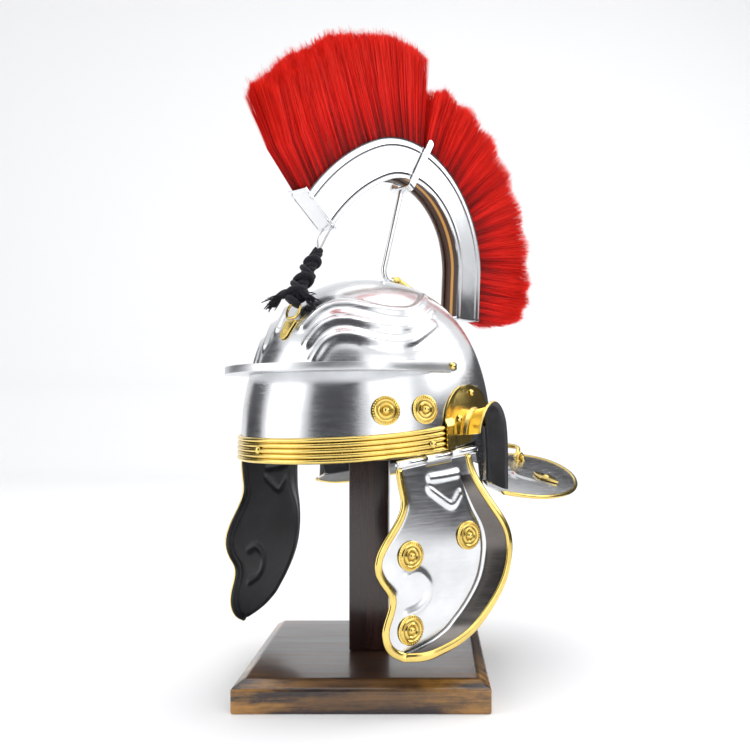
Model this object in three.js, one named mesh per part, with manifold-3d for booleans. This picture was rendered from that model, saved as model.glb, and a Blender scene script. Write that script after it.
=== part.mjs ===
// Roman legionary helmet with a bristle crest, on its plain wooden stand.
// Millimetres, +Z up. The origin is the centre of the base's underside, the
// helmet faces -Y and +X is the wearer's left.

import * as THREE from 'three';
import { mergeVertices } from 'three/addons/utils/BufferGeometryUtils.js';
import Module from 'manifold-3d';

const wasm = await Module();
wasm.setup();

const { degToRad, lerp, clamp, smoothstep } = THREE.MathUtils;
const V2 = THREE.Vector2;
const V3 = THREE.Vector3;

// Clearance between pieces that touch
const FIT = 0.3;

// Faces round bars, knuckles, rivets and rosettes
const BAR_SIDES = 6;
const KNUCKLE_SIDES = 8;
const RIVET_SIDES = 8;
const ROSETTE_SIDES = 10;
const ROD_SIDES = 8;
const CORD_SIDES = 8;

// Stand
const BASE_SIDE = 200;
const BASE_HEIGHT = 25;
const BASE_CHAMFER_HEIGHT = 6;
const BASE_CHAMFER_INSET = 9.5;
const BASE_CORNER = 4;
const BASE_TURN = 40;
const POST_SIDE = 34;

// Bowl
const RIM_HEIGHT = 194;
const BOWL_HALF_LENGTH = 117;
const BOWL_HALF_WIDTH = 101;
const BOWL_HEIGHT = 152;
const BOWL_HEIGHT_POWER = 2.4;
const BOWL_ROUND_POWER = 2.3;
const STEEL_WALL = 1.5;
const RIM_DIP = 3;
const RIM_RISE = 17;
const RIM_RISE_POWER = 2.5;
const EAR_ANGLE = 102;
const NAPE_ANGLE = 108;

// Neck guard
const GUARD_HALF_WIDTH = 129;
const GUARD_WIDEST = 95;
const GUARD_REACH = 120;
const GUARD_FRONT_LENGTH = 55;
const GUARD_FRONT_TUCK = 17;
const GUARD_POWER = 2.2;
const GUARD_DROP = 8;
const GUARD_ARCH = 27;
const GUARD_EDGE_RADIUS = 1.9;
const NAPE_RIB_OFFSETS = [12, 22];
const NAPE_RIB_SPAN = 52;
const NAPE_RIDGE = { halfWidth: 3, height: 1.6, sink: 0.8 };
const GUARD_SIDE_SHARE = 0.75;

// Raised eyebrows: three rows a side, each following one wave
const EYEBROW_RIDGE = { halfWidth: 5, height: 2.3, sink: 0.8 };
const EYEBROW_ROWS = [
  { start: 11, finish: 100, peak: 124 },
  { start: 17, finish: 91, peak: 110 },
  { start: 22, finish: 86, peak: 97 },
];
const EYEBROW_WAVE = [
  { along: 0.0, drop: 20 },
  { along: 0.05, drop: 9 },
  { along: 0.13, drop: 2 },
  { along: 0.24, drop: 0 },
  { along: 0.4, drop: 3 },
  { along: 0.58, drop: 6 },
  { along: 0.72, drop: 4 },
  { along: 0.86, drop: -4 },
  { along: 1.0, drop: -12 },
];

// Brow band and brow guard
const BAND_HEIGHT = 20;
const BAND_WALL = 1.2;
const BAND_RIB_HEIGHT = 1.5;
const BAND_RIBS = 5;
const BROW_GUARD_HEIGHT = 68;
const BROW_GUARD_RISE = 3;
const BROW_GUARD_REACH = 20;
const BROW_GUARD_WALL = 1.6;
const BROW_GUARD_LIP = 6;
const BROW_GUARD_TAB = 9;
const BROW_GUARD_END_ANGLE = 91;
const BROW_GUARD_FADE = { from: 45, margin: 9 };

// Ear guards: a plate on the bowl and a hood that stands out over the ear
const EAR_PLATE_ANGLES = { front: 84, rear: 116 };
const EAR_PLATE_GAP_ANGLE = 0.4;
const EAR_PLATE_HEIGHTS = { low: 25, high: 60 };
const EAR_HOOD_REACH = 20;
const EAR_HOOD_ANGLES = { front: 15, rear: 192 };
const EAR_HOOD_CENTRE = { y: 22, z: 12 };
const EAR_HOOD_HALF_WIDTH = 19;
const EAR_HOOD_RISE = 27;
const EAR_HOOD_FLARE = 5;
const EAR_HOOD_REAR_DROP = 34;
const EAR_HOOD_DROP_FROM = 0.75;
const EAR_PLATE_SHOULDER = 8;
const BRASS_WALL = 1.2;

// Cheek pieces: hinge line, then depth, front and rear edges as shares of the height and width
const HINGE_FRONT = { x: 92, y: -66, z: -3.2 };
const HINGE_REAR = { x: 106, y: 13, z: 7.4 };
const KNUCKLE_RADIUS = 3.2;
const PIN_RADIUS = 1.2;
const LEAF_HEIGHT = 17;
const KNUCKLE_SHARES = [0, 0.345, 0.665, 1];
const CHEEK_HEIGHT = 147;
const CHEEK_WIDTH = 128;
const CHEEK_FRONT_BULGE = 2;
const CHEEK_REAR_BULGE = 8;
const CHEEK_FLANGE = 13;
const CHEEK_FLANGE_FROM = 0.75;
const CHEEK_FLANGE_FLARE = 12;
const CHEEK_EDGE_RADIUS = 2;
const CHEEK_ROW_COUNT = 14;
const CHEEK_ROW_CROWDING = 1.5;
const CHEEK_ROWS = [
  { depth: 0.04, front: -0.504, rear: 0.035 },
  { depth: 0.12, front: -0.492, rear: 0.047 },
  { depth: 0.21, front: -0.469, rear: 0.086 },
  { depth: 0.3, front: -0.516, rear: 0.133 },
  { depth: 0.4, front: -0.609, rear: 0.195 },
  { depth: 0.49, front: -0.664, rear: 0.219 },
  { depth: 0.58, front: -0.633, rear: 0.211 },
  { depth: 0.67, front: -0.555, rear: 0.18 },
  { depth: 0.76, front: -0.57, rear: 0.11 },
  { depth: 0.85, front: -0.613, rear: 0.008 },
  { depth: 0.92, front: -0.6, rear: -0.1 },
  { depth: 0.975, front: -0.545, rear: -0.25 },
  { depth: 1.0, front: -0.49, rear: -0.35 },
];

// Round fittings
const ROSETTE_RADIUS = 12;
const ROSETTE_HEIGHT = 4.2;
const RIVET_RADIUS = 3;
const RIVET_HEIGHT = 1.8;
const BOWL_ROSETTES = [{ angle: 54.5, height: 38 }, { angle: 71.5, height: 39 }];
const CHEEK_ROSETTES = [{ y: -56, depth: 71 }, { y: -2, depth: 64 }, { y: -56, depth: 128 }];
const RIVETS = [
  { node: 'band_rivet', angle: 74, height: 12, out: 3 },
  { node: 'guard_rivet', angle: 87, height: 74, out: 5 },
  { node: 'ear_rivet_1', angle: 99, height: 53, out: 1.9 },
  { node: 'ear_rivet_2', angle: 89, height: 32, out: 1.9 },
];
const LOZENGE = { x: 100, y: 130, halfLength: 14, halfWidth: 10, height: 1.4 };

// Neck handle
const HANDLE_HALF_WIDTH = 46;
const HANDLE_BACK = 168;
const HANDLE_GRIP_REACH = 19;
const HANDLE_GRIP_RISE = 11;
const HANDLE_RADIUS = 2.2;
const STAPLE_RADIUS = 1.6;
const STAPLE_BORE = 2.8;

// Crest: midline of two arcs and a straight rear end, in the plane X = 0
const CREST_CENTRE = { y: 42, z: 178 };
const CREST_RADIUS = 89.5;
const CREST_REAR_LENGTH = 50;
const CREST_REAR_SLOPE = 0.06;
const CREST_TOP_ANGLE = 115;
const CREST_FRONT_RADIUS = 200;
const CREST_FRONT_ANGLE = 142;
const CREST_DEPTH = 35.5;
const CREST_WIDTH = 20;
const CREST_WALL = 1.2;
const CREST_NOSE_REACH = 4;
const CORE_RECESS = 4;

// Bristle: length along the crest as shares of the longest hair, and how far it leans forward
const HAIR_LENGTH = 98;
const HAIR_ROOT_HALF_WIDTH = 8;
const HAIR_TIP_HALF_WIDTH = 17;
const REAR_TIP_HALF_WIDTH = 21;
const HAIR_LOCK = 2;
const HAIR_GAP = 2;
const HAIR_SPLIT = 0.47;
const HAIR_FRONT_ROWS = [
  { along: 0.0, length: 0.88, lean: -21 },
  { along: 0.15, length: 0.9, lean: -14 },
  { along: 0.4, length: 0.93, lean: -4 },
  { along: 0.7, length: 0.97, lean: 7 },
  { along: 1.0, length: 0.98, lean: 14 },
];
const HAIR_REAR_ROWS = [
  { along: 0.0, length: 0.7, lean: 8 },
  { along: 0.15, length: 0.82, lean: 5 },
  { along: 0.4, length: 0.9, lean: 2 },
  { along: 0.65, length: 0.94, lean: 0 },
  { along: 0.85, length: 0.9, lean: -2 },
  { along: 0.95, length: 0.74, lean: -4 },
  { along: 1.0, length: 0.5, lean: -4 },
];

// Crest fork, its socket, the lashing and the rear hook
const ROD_RADIUS = 2.4;
const FORK_ARM_LENGTH = 58;
const FORK_ARM_WIDTH = 6;
const FORK_ARM_WALL = 1.8;
const FORK_TILT = 59;
const FORK_FOOT = { y: 41, z: 242 };
const ROD_BEND = { y: 17, z: 164 };
const SOCKET = { y: 44, length: 24, width: 15, height: 11, wall: 2 };
const RING_RADIUS = 6.5;
const RING_WIRE = 1;
const RING_STEPS = 14;
const RING_SLANT = 0.35;
const FRONT_PLATE = { height: 102, length: 15, width: 10, wall: 1.2 };
const LASH_DROP = { y: 9, z: 16 };
const CORD_RADIUS = 6.5;
const CORD_FLATNESS = 0.8;
const CORD_KNOT_PITCH = 4;
const WIRE_RADIUS = 0.8;
const WIRE_TURN_RADIUS = 2.6;
const WIRE_TURN_STEPS = 8;
const WIRE_FRONT_SHARE = 0.012;
const WIRE_REAR_SHARE = 0.075;
const HOOK_RADIUS = 1.6;
const HOOK_PAD_RADIUS = 6;
const HOOK_PAD_WALL = 1.5;
const HOOK_PAD_HEIGHT = 104;
const HOOK_STAND_OFF = 9;

// Builds a mesh from points and triangles, turned so that its faces point out
function solid(points, triangles) {
  const geometry = new THREE.BufferGeometry();
  const places = points.flatMap((point) => [point.x, point.y, point.z]);
  geometry.setAttribute('position', new THREE.Float32BufferAttribute(places, 3));
  let volume = 0;
  for (const [a, b, c] of triangles) {
    volume += points[a].dot(new V3().crossVectors(points[b], points[c]));
  }
  geometry.setIndex(triangles.flatMap(([a, b, c]) => (volume < 0 ? [a, c, b] : [a, b, c])));
  return geometry;
}

// Carries a flat section through steps; place(step, x, y) puts one section point in space
function sweep(section, steps, place, closed = false) {
  const points = [];
  const triangles = [];
  const size = section.length;
  const rings = closed ? steps : steps + 1;
  for (let step = 0; step < rings; step += 1) {
    for (const point of section) points.push(place(step / steps, point.x, point.y));
  }
  for (let step = 0; step < steps; step += 1) {
    for (let side = 0; side < size; side += 1) {
      const next = (side + 1) % size;
      const a = step * size;
      const b = ((step + 1) % rings) * size;
      triangles.push([a + side, a + next, b + next], [a + side, b + next, b + side]);
    }
  }
  if (!closed) {
    const turned = THREE.ShapeUtils.area(section) < 0;
    for (const [a, b, c] of THREE.ShapeUtils.triangulateShape(section, [])) {
      const end = steps * size;
      triangles.push(turned ? [a, b, c] : [c, b, a]);
      triangles.push(turned ? [c + end, b + end, a + end] : [a + end, b + end, c + end]);
    }
  }
  return solid(points, triangles);
}

// A closed sheet from a grid of points on its outer face, thickened against the normal
function sheet(columns, rows, place, wall) {
  const points = [];
  const step = 1e-3;
  for (const depth of [0, wall]) {
    for (let row = 0; row <= rows; row += 1) {
      for (let column = 0; column <= columns; column += 1) {
        const u = column / columns;
        const v = row / rows;
        const along = place(Math.min(1, u + step), v).sub(place(Math.max(0, u - step), v));
        const down = place(u, Math.min(1, v + step)).sub(place(u, Math.max(0, v - step)));
        points.push(place(u, v).addScaledVector(along.cross(down).normalize(), -depth));
      }
    }
  }
  const width = columns + 1;
  const layer = width * (rows + 1);
  const triangles = [];
  const quad = (a, b, c, d) => triangles.push([a, b, c], [a, c, d]);
  for (let row = 0; row < rows; row += 1) {
    for (let column = 0; column < columns; column += 1) {
      const a = row * width + column;
      quad(a, a + 1, a + 1 + width, a + width);
      quad(a + layer, a + width + layer, a + 1 + width + layer, a + 1 + layer);
    }
  }
  for (let column = 0; column < columns; column += 1) {
    const top = column;
    const bottom = rows * width + column;
    quad(top, top + layer, top + 1 + layer, top + 1);
    quad(bottom, bottom + 1, bottom + 1 + layer, bottom + layer);
  }
  for (let row = 0; row < rows; row += 1) {
    const left = row * width;
    const right = left + columns;
    quad(left, left + width, left + width + layer, left + layer);
    quad(right, right + layer, right + width + layer, right + width);
  }
  return solid(points, triangles);
}

// A round bar along points
function bar(path, radius, sides = BAR_SIDES, closed = false) {
  const section = Array.from({ length: sides }, (_, side) => {
    const angle = (side / sides) * 2 * Math.PI;
    return new V2(Math.cos(angle) * radius, Math.sin(angle) * radius);
  });
  const count = path.length;
  const steps = closed ? count : count - 1;
  const frames = path.map((point, index) => {
    const before = path[closed ? (index + count - 1) % count : Math.max(0, index - 1)];
    const after = path[closed ? (index + 1) % count : Math.min(count - 1, index + 1)];
    return { point, ahead: after.clone().sub(before).normalize() };
  });
  const middle = path.reduce((sum, point) => sum.add(point), new V3()).divideScalar(count);
  let side = new V3().crossVectors(frames[0].ahead, path[0].clone().sub(middle));
  if (side.length() < 1e-3) side = new V3(1, 0, 0).cross(frames[0].ahead);
  if (side.length() < 1e-3) side = new V3(0, 0, 1).cross(frames[0].ahead);
  for (const frame of frames) {
    side = side.clone().addScaledVector(frame.ahead, -side.dot(frame.ahead)).normalize();
    frame.side = side;
    frame.up = new V3().crossVectors(frame.ahead, side);
  }
  return sweep(section, steps, (share, x, y) => {
    const frame = frames[Math.round(share * steps)];
    return frame.point.clone().addScaledVector(frame.side, x).addScaledVector(frame.up, y);
  }, closed);
}

// Reads a named column of a table of rows at a share, with a smooth curve between rows
function along(rows, key, value, share) {
  const last = rows.length - 1;
  let index = 0;
  while (index < last - 1 && share > rows[index + 1][key]) index += 1;
  const from = rows[index];
  const to = rows[index + 1];
  const local = clamp((share - from[key]) / (to[key] - from[key]), 0, 1);
  const before = rows[Math.max(0, index - 1)];
  const after = rows[Math.min(last, index + 2)];
  const slopeFrom = (to[value] - before[value]) / (to[key] - before[key] || 1);
  const slopeTo = (after[value] - from[value]) / (after[key] - from[key] || 1);
  const span = to[key] - from[key];
  const t2 = local * local;
  const t3 = t2 * local;
  return (2 * t3 - 3 * t2 + 1) * from[value] + (t3 - 2 * t2 + local) * span * slopeFrom
    + (3 * t2 - 2 * t3) * to[value] + (t3 - t2) * span * slopeTo;
}

// Booleans on closed meshes
function toManifold(geometry) {
  const plain = geometry.index ? geometry.toNonIndexed() : geometry.clone();
  for (const name of Object.keys(plain.attributes)) {
    if (name !== 'position') plain.deleteAttribute(name);
  }
  const merged = mergeVertices(plain, 1e-4);
  return new wasm.Manifold(new wasm.Mesh({
    numProp: 3,
    vertProperties: new Float32Array(merged.attributes.position.array),
    triVerts: new Uint32Array(merged.index.array),
  }));
}

function fromManifold(manifold) {
  const { vertProperties, triVerts } = manifold.getMesh();
  const geometry = new THREE.BufferGeometry();
  geometry.setAttribute('position', new THREE.BufferAttribute(new Float32Array(vertProperties), 3));
  geometry.setIndex(new THREE.BufferAttribute(new Uint32Array(triVerts), 1));
  return geometry;
}

function join(...geometries) {
  return fromManifold(geometries.map(toManifold).reduce((whole, piece) => whole.add(piece)));
}

function cut(geometry, ...tools) {
  const whole = toManifold(geometry);
  return fromManifold(tools.map(toManifold).reduce((left, tool) => left.subtract(tool), whole));
}

// Turns and moves a geometry whose axis is Z so that it stands at a point along a direction
function stand(geometry, point, direction) {
  const turn = new THREE.Quaternion().setFromUnitVectors(new V3(0, 0, 1), direction.clone().normalize());
  return geometry.applyQuaternion(turn).translate(point.x, point.y, point.z);
}

function cylinder(radius, from, to, sides) {
  const length = from.distanceTo(to);
  const geometry = new THREE.CylinderGeometry(radius, radius, length, sides).rotateX(Math.PI / 2);
  return stand(geometry, from.clone().lerp(to, 0.5), to.clone().sub(from));
}

function lathe(profile, sides) {
  const points = profile.map(([radius, height]) => new V2(radius, height));
  return new THREE.LatheGeometry(points, sides).rotateX(Math.PI / 2);
}

// Finishes
function finish(color, roughness, metalness) {
  return new THREE.MeshStandardMaterial({ color, roughness, metalness });
}

const materials = {
  steel: finish(0xc4c8cc, 0.2, 1),
  brass: finish(0xd9a531, 0.25, 1),
  baseWood: finish(0x3b2418, 0.5, 0),
  postWood: finish(0x2a1712, 0.45, 0),
  coreWood: finish(0x5a2f1a, 0.6, 0),
  bristle: finish(0xd21422, 0.7, 0),
  cord: finish(0x151519, 0.8, 0),
};

const assembly = new THREE.Group();
const helmet = new THREE.Group();
helmet.position.z = RIM_HEIGHT;
assembly.add(helmet);

function add(group, name, geometry, material) {
  const mesh = new THREE.Mesh(geometry, material);
  mesh.name = name;
  group.add(mesh);
}

// Mirrors a wearer's-left geometry to the right side
function mirrored(geometry) {
  const copy = geometry.clone().scale(-1, 1, 1);
  const { count } = copy.attributes.position;
  const index = copy.index ? Array.from(copy.index.array) : Array.from({ length: count }, (_, at) => at);
  for (let at = 0; at < index.length; at += 3) {
    const kept = index[at + 1];
    index[at + 1] = index[at + 2];
    index[at + 2] = kept;
  }
  copy.setIndex(index);
  return copy;
}

function addPair(name, geometry, material) {
  add(helmet, `${name}_left`, geometry, material);
  add(helmet, `${name}_right`, mirrored(geometry), material);
}

// Bowl surface: how far the wall has drawn in at a height, and points on the wall
function drawIn(height, top = BOWL_HEIGHT) {
  return (1 - clamp(height / top, 0, 1) ** BOWL_HEIGHT_POWER) ** (1 / BOWL_ROUND_POWER);
}

function onBowl(angle, height, out = 0) {
  const share = drawIn(height);
  const turn = degToRad(angle);
  const across = BOWL_HALF_WIDTH * share + out;
  const deep = BOWL_HALF_LENGTH * share + out;
  return new V3(across * Math.sin(turn), -deep * Math.cos(turn), height);
}

function bowlNormal(angle, height) {
  const side = onBowl(angle + 0.5, height).sub(onBowl(angle - 0.5, height));
  const rise = onBowl(angle, height + 0.3).sub(onBowl(angle, height - 0.3));
  return side.cross(rise).normalize();
}

function crownHeight(y) {
  return BOWL_HEIGHT * (1 - (Math.abs(y) / BOWL_HALF_LENGTH) ** BOWL_ROUND_POWER) ** (1 / BOWL_HEIGHT_POWER);
}

function rimHeight(angle) {
  return RIM_RISE * (Math.min(Math.abs(angle), EAR_ANGLE) / EAR_ANGLE) ** RIM_RISE_POWER - RIM_DIP;
}

function guardHeight(x) {
  return -GUARD_DROP - GUARD_ARCH * (x / GUARD_HALF_WIDTH) ** 2;
}

// Outer edge of the neck guard, from the wearer's right corner (-1) to the left corner (1)
function guardEdge(share) {
  const side = Math.sign(share);
  const reach = Math.abs(share);
  if (reach <= GUARD_SIDE_SHARE) {
    const angle = (reach / GUARD_SIDE_SHARE) * (Math.PI / 2);
    const power = 2 / GUARD_POWER;
    const x = side * GUARD_HALF_WIDTH * Math.sin(angle) ** power;
    return new V2(x, GUARD_WIDEST + GUARD_REACH * Math.max(0, Math.cos(angle)) ** power);
  }
  const past = (reach - GUARD_SIDE_SHARE) / (1 - GUARD_SIDE_SHARE);
  const x = GUARD_HALF_WIDTH - GUARD_FRONT_TUCK * past * past;
  return new V2(side * x, GUARD_WIDEST - GUARD_FRONT_LENGTH * past);
}

function napePoint(share, out) {
  const turn = degToRad(180 - (180 - NAPE_ANGLE) * share);
  return new V2((BOWL_HALF_WIDTH + out) * Math.sin(turn), -(BOWL_HALF_LENGTH + out) * Math.cos(turn));
}

function bowlShell() {
  const columns = 60;
  const rows = 7;
  const points = [];
  const triangles = [];
  const lowEdge = (angle) => {
    const bent = angle > 180 ? 360 - angle : angle;
    const drop = smoothstep(bent, EAR_ANGLE, NAPE_ANGLE);
    const x = BOWL_HALF_WIDTH * Math.sin(degToRad(bent));
    return lerp(rimHeight(bent), guardHeight(x) - STEEL_WALL / 2, drop);
  };
  for (const inset of [0, STEEL_WALL]) {
    const top = BOWL_HEIGHT - inset;
    for (let row = 0; row < rows; row += 1) {
      for (let column = 0; column < columns; column += 1) {
        const angle = (column / columns) * 360;
        const low = lowEdge(angle);
        const height = low + (top - low) * Math.sin((row / rows) * (Math.PI / 2));
        const share = drawIn(height, top);
        const turn = degToRad(angle);
        points.push(new V3(
          (BOWL_HALF_WIDTH - inset) * share * Math.sin(turn),
          -(BOWL_HALF_LENGTH - inset) * share * Math.cos(turn),
          height,
        ));
      }
    }
    points.push(new V3(0, 0, top));
  }
  const layer = columns * rows + 1;
  for (let column = 0; column < columns; column += 1) {
    const next = (column + 1) % columns;
    for (let row = 0; row < rows - 1; row += 1) {
      const a = row * columns + column;
      const b = row * columns + next;
      triangles.push([a, b, b + columns], [a, b + columns, a + columns]);
      const [inA, inB] = [a + layer, b + layer];
      triangles.push([inA, inB + columns, inB], [inA, inA + columns, inB + columns]);
    }
    const crown = (rows - 1) * columns;
    triangles.push([crown + column, crown + next, layer - 1]);
    triangles.push([crown + next + layer, crown + column + layer, 2 * layer - 1]);
    triangles.push([column, column + layer, next + layer], [column, next + layer, next]);
  }
  return solid(points, triangles);
}

function neckGuard() {
  const across = 2;
  const section = [];
  for (let step = 0; step <= across; step += 1) section.push(new V2(step / across, 0));
  for (let step = across; step >= 0; step -= 1) section.push(new V2(step / across, -STEEL_WALL));
  return sweep(section, 24, (share, x, y) => {
    const at = share * 2 - 1;
    const inner = napePoint(Math.abs(at), -STEEL_WALL / 2);
    const outer = guardEdge(at);
    const flatX = lerp(inner.x * Math.sign(at || 1), outer.x, x);
    return new V3(flatX, lerp(inner.y, outer.y, x), guardHeight(flatX) + y);
  });
}

// Rolled brass edge of the neck guard
function neckEdge() {
  const count = 30;
  const path = [];
  for (let step = 0; step <= count; step += 1) {
    const share = lerp(-1, 1, step / count);
    const point = guardEdge(share);
    const before = guardEdge(Math.max(-1, share - 0.02));
    const after = guardEdge(Math.min(1, share + 0.02));
    const away = new V2(-(after.y - before.y), after.x - before.x).normalize();
    const centre = new V2(0, GUARD_WIDEST);
    if (away.dot(point.clone().sub(centre)) < 0) away.negate();
    point.addScaledVector(away, GUARD_EDGE_RADIUS + FIT);
    path.push(new V3(point.x, point.y, guardHeight(point.x) - STEEL_WALL / 2));
  }
  return bar(path, GUARD_EDGE_RADIUS);
}

// A raised ridge with a flat back, along points with their surface normals
function ridge(path, normals, { halfWidth, height, sink }) {
  const section = [
    new V2(-halfWidth, -sink),
    new V2(-halfWidth * 0.4, height),
    new V2(halfWidth * 0.4, height),
    new V2(halfWidth, -sink),
  ];
  const steps = path.length - 1;
  return sweep(section, steps, (share, x, y) => {
    const index = Math.round(share * steps);
    const after = path[Math.min(steps, index + 1)];
    const ahead = after.clone().sub(path[Math.max(0, index - 1)]).normalize();
    const side = new V3().crossVectors(ahead, normals[index]).normalize();
    const taper = Math.min(1, 0.4 + Math.min(index, steps - index) * 0.3);
    const up = y > 0 ? y * taper : y;
    return path[index].clone().addScaledVector(side, x * taper).addScaledVector(normals[index], up);
  });
}

function eyebrow({ start, finish: end, peak }) {
  const count = 11;
  const path = [];
  const normals = [];
  for (let step = 0; step <= count; step += 1) {
    const share = step / count;
    const angle = lerp(start, end, share);
    const height = peak - along(EYEBROW_WAVE, 'along', 'drop', share);
    path.push(onBowl(angle, height));
    normals.push(bowlNormal(angle, height));
  }
  return ridge(path, normals, EYEBROW_RIDGE);
}

function napeRib(offset) {
  const count = 8;
  const path = [];
  const normals = [];
  for (let step = 0; step <= count; step += 1) {
    const angle = lerp(180 - NAPE_RIB_SPAN, 180 + NAPE_RIB_SPAN, step / count);
    const turn = degToRad(angle);
    const x = (BOWL_HALF_WIDTH + offset) * Math.sin(turn);
    path.push(new V3(x, -(BOWL_HALF_LENGTH + offset) * Math.cos(turn), guardHeight(x)));
    normals.push(new V3(0, 0, 1));
  }
  return ridge(path, normals, NAPE_RIDGE);
}

function bowl() {
  const ridges = EYEBROW_ROWS.flatMap((row) => [eyebrow(row), mirrored(eyebrow(row))]);
  return join(bowlShell(), neckGuard(), ...ridges, ...NAPE_RIB_OFFSETS.map(napeRib));
}

function browBand() {
  const bandEnd = EAR_PLATE_ANGLES.front - EAR_PLATE_GAP_ANGLE;
  const pitch = BAND_HEIGHT / BAND_RIBS;
  const section = [new V2(FIT, 0)];
  for (let rib = 0; rib < BAND_RIBS; rib += 1) {
    section.push(new V2(FIT + BAND_WALL, rib * pitch));
    section.push(new V2(FIT + BAND_WALL + BAND_RIB_HEIGHT, (rib + 0.5) * pitch));
  }
  section.push(new V2(FIT + BAND_WALL, BAND_HEIGHT), new V2(FIT, BAND_HEIGHT));
  return sweep(section, 26, (share, out, up) => {
    const angle = lerp(-bandEnd, bandEnd, share);
    return onBowl(angle, rimHeight(angle) + up, out);
  });
}

function browGuardHeight(angle) {
  return BROW_GUARD_HEIGHT + BROW_GUARD_RISE * smoothstep(Math.abs(angle), 30, BROW_GUARD_END_ANGLE);
}

// Section of the guard: a flat wall with an upturned lip, which closes to a plain tab at both ends
function browGuard() {
  const section = [new V2(0, 0), new V2(2, 0), new V2(2, 2), new V2(1, 2), new V2(1, 1), new V2(0, 1)];
  return sweep(section, 28, (share, across, level) => {
    const angle = lerp(-BROW_GUARD_END_ANGLE, BROW_GUARD_END_ANGLE, share);
    const end = BROW_GUARD_END_ANGLE - BROW_GUARD_FADE.margin;
    const fade = 1 - smoothstep(Math.abs(angle), BROW_GUARD_FADE.from, end);
    const reach = lerp(BROW_GUARD_WALL * 1.5, BROW_GUARD_REACH, fade);
    const lip = lerp(BROW_GUARD_TAB, BROW_GUARD_LIP, fade);
    const floor = browGuardHeight(angle) - (lip - BROW_GUARD_LIP) / 2;
    const out = [0, reach - BROW_GUARD_WALL, reach][across];
    const up = [0, lerp(lip - BROW_GUARD_WALL / 2, BROW_GUARD_WALL, fade), lip][level];
    return onBowl(angle, floor, FIT + out).setZ(floor + up);
  });
}

// Ear guard: plate and hood joined in one brass piece
function earPlate() {
  const { front, rear } = EAR_PLATE_ANGLES;
  const { low, high } = EAR_PLATE_HEIGHTS;
  return sheet(8, 4, (u, v) => {
    const angle = lerp(front, rear, u);
    const round = Math.sin(Math.PI * clamp(u, 0.02, 0.98)) ** 0.5;
    const top = lerp(low + EAR_PLATE_SHOULDER, high, round);
    return onBowl(angle, lerp(low, top, v), FIT + BRASS_WALL);
  }, BRASS_WALL);
}

function hoodPoint(share, out) {
  const angle = lerp(EAR_HOOD_ANGLES.front, EAR_HOOD_ANGLES.rear, share);
  const turn = degToRad(angle);
  const grow = EAR_HOOD_FLARE * out;
  const past = Math.max(0, (share - EAR_HOOD_DROP_FROM) / (1 - EAR_HOOD_DROP_FROM));
  const drop = EAR_HOOD_REAR_DROP * past ** 1.5;
  const y = EAR_HOOD_CENTRE.y - (EAR_HOOD_HALF_WIDTH + grow) * Math.cos(turn);
  const arch = EAR_HOOD_CENTRE.z + (EAR_HOOD_RISE + grow) * Math.sin(turn) - drop;
  const wall = BOWL_HALF_WIDTH * drawIn(Math.max(0, arch)) * Math.sqrt(1 - (y / BOWL_HALF_LENGTH) ** 2);
  const x = wall + FIT + BRASS_WALL / 2 + EAR_HOOD_REACH * out ** 0.8;
  return new V3(x, y, Math.max(arch, guardHeight(x) + FIT + BRASS_WALL));
}

function earHood() {
  return sheet(14, 2, (u, v) => hoodPoint(u, v), BRASS_WALL);
}

// Cheek pieces
const hingeFront = new V3(HINGE_FRONT.x, HINGE_FRONT.y, HINGE_FRONT.z);
const hingeRear = new V3(HINGE_REAR.x, HINGE_REAR.y, HINGE_REAR.z);

function onHinge(share) {
  return hingeFront.clone().lerp(hingeRear, share);
}

function cheekSurface(y, depthShare, flare) {
  const share = (y - HINGE_FRONT.y) / (HINGE_REAR.y - HINGE_FRONT.y);
  const swell = 1 - (1 - Math.min(1, depthShare * 2)) ** 2;
  const bulge = swell * lerp(CHEEK_FRONT_BULGE, CHEEK_REAR_BULGE, share);
  const hang = lerp(HINGE_FRONT.z, HINGE_REAR.z, share) * (1 - depthShare);
  const x = lerp(HINGE_FRONT.x, HINGE_REAR.x, share) + bulge + flare;
  return new V3(x, y, hang - depthShare * CHEEK_HEIGHT);
}

// The cheek's outer face at a place along Y and a share of its depth
function cheekAt(y, depth) {
  const rear = along(CHEEK_ROWS, 'depth', 'rear', depth) * CHEEK_WIDTH;
  const inFlange = clamp(1 - (rear - y) / CHEEK_FLANGE, 0, 1);
  return cheekSurface(y, depth, CHEEK_FLANGE_FLARE * inFlange * smoothstep(depth, 0.05, 0.5));
}

function cheekPlace(u, v) {
  const depth = lerp(CHEEK_ROWS[0].depth, 1, 1 - (1 - v) ** CHEEK_ROW_CROWDING);
  const front = along(CHEEK_ROWS, 'depth', 'front', depth) * CHEEK_WIDTH;
  const rear = along(CHEEK_ROWS, 'depth', 'rear', depth) * CHEEK_WIDTH;
  const step = rear - CHEEK_FLANGE;
  const y = u < CHEEK_FLANGE_FROM
    ? lerp(front, step, u / CHEEK_FLANGE_FROM)
    : lerp(step, rear, (u - CHEEK_FLANGE_FROM) / (1 - CHEEK_FLANGE_FROM));
  return { y, depth };
}

function cheekPoint(u, v) {
  const { y, depth } = cheekPlace(u, v);
  return cheekAt(y, depth);
}

function cheekPlate() {
  return sheet(8, CHEEK_ROW_COUNT, (u, v) => cheekPoint(1 - u, v), STEEL_WALL);
}

function cheekNormal(u, v) {
  const { y, depth } = cheekPlace(u, v);
  const side = cheekAt(y, depth).sub(cheekAt(y - 2, depth));
  const drop = cheekAt(y, depth).sub(cheekAt(y, depth - 0.02));
  return drop.cross(side).normalize();
}

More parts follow.
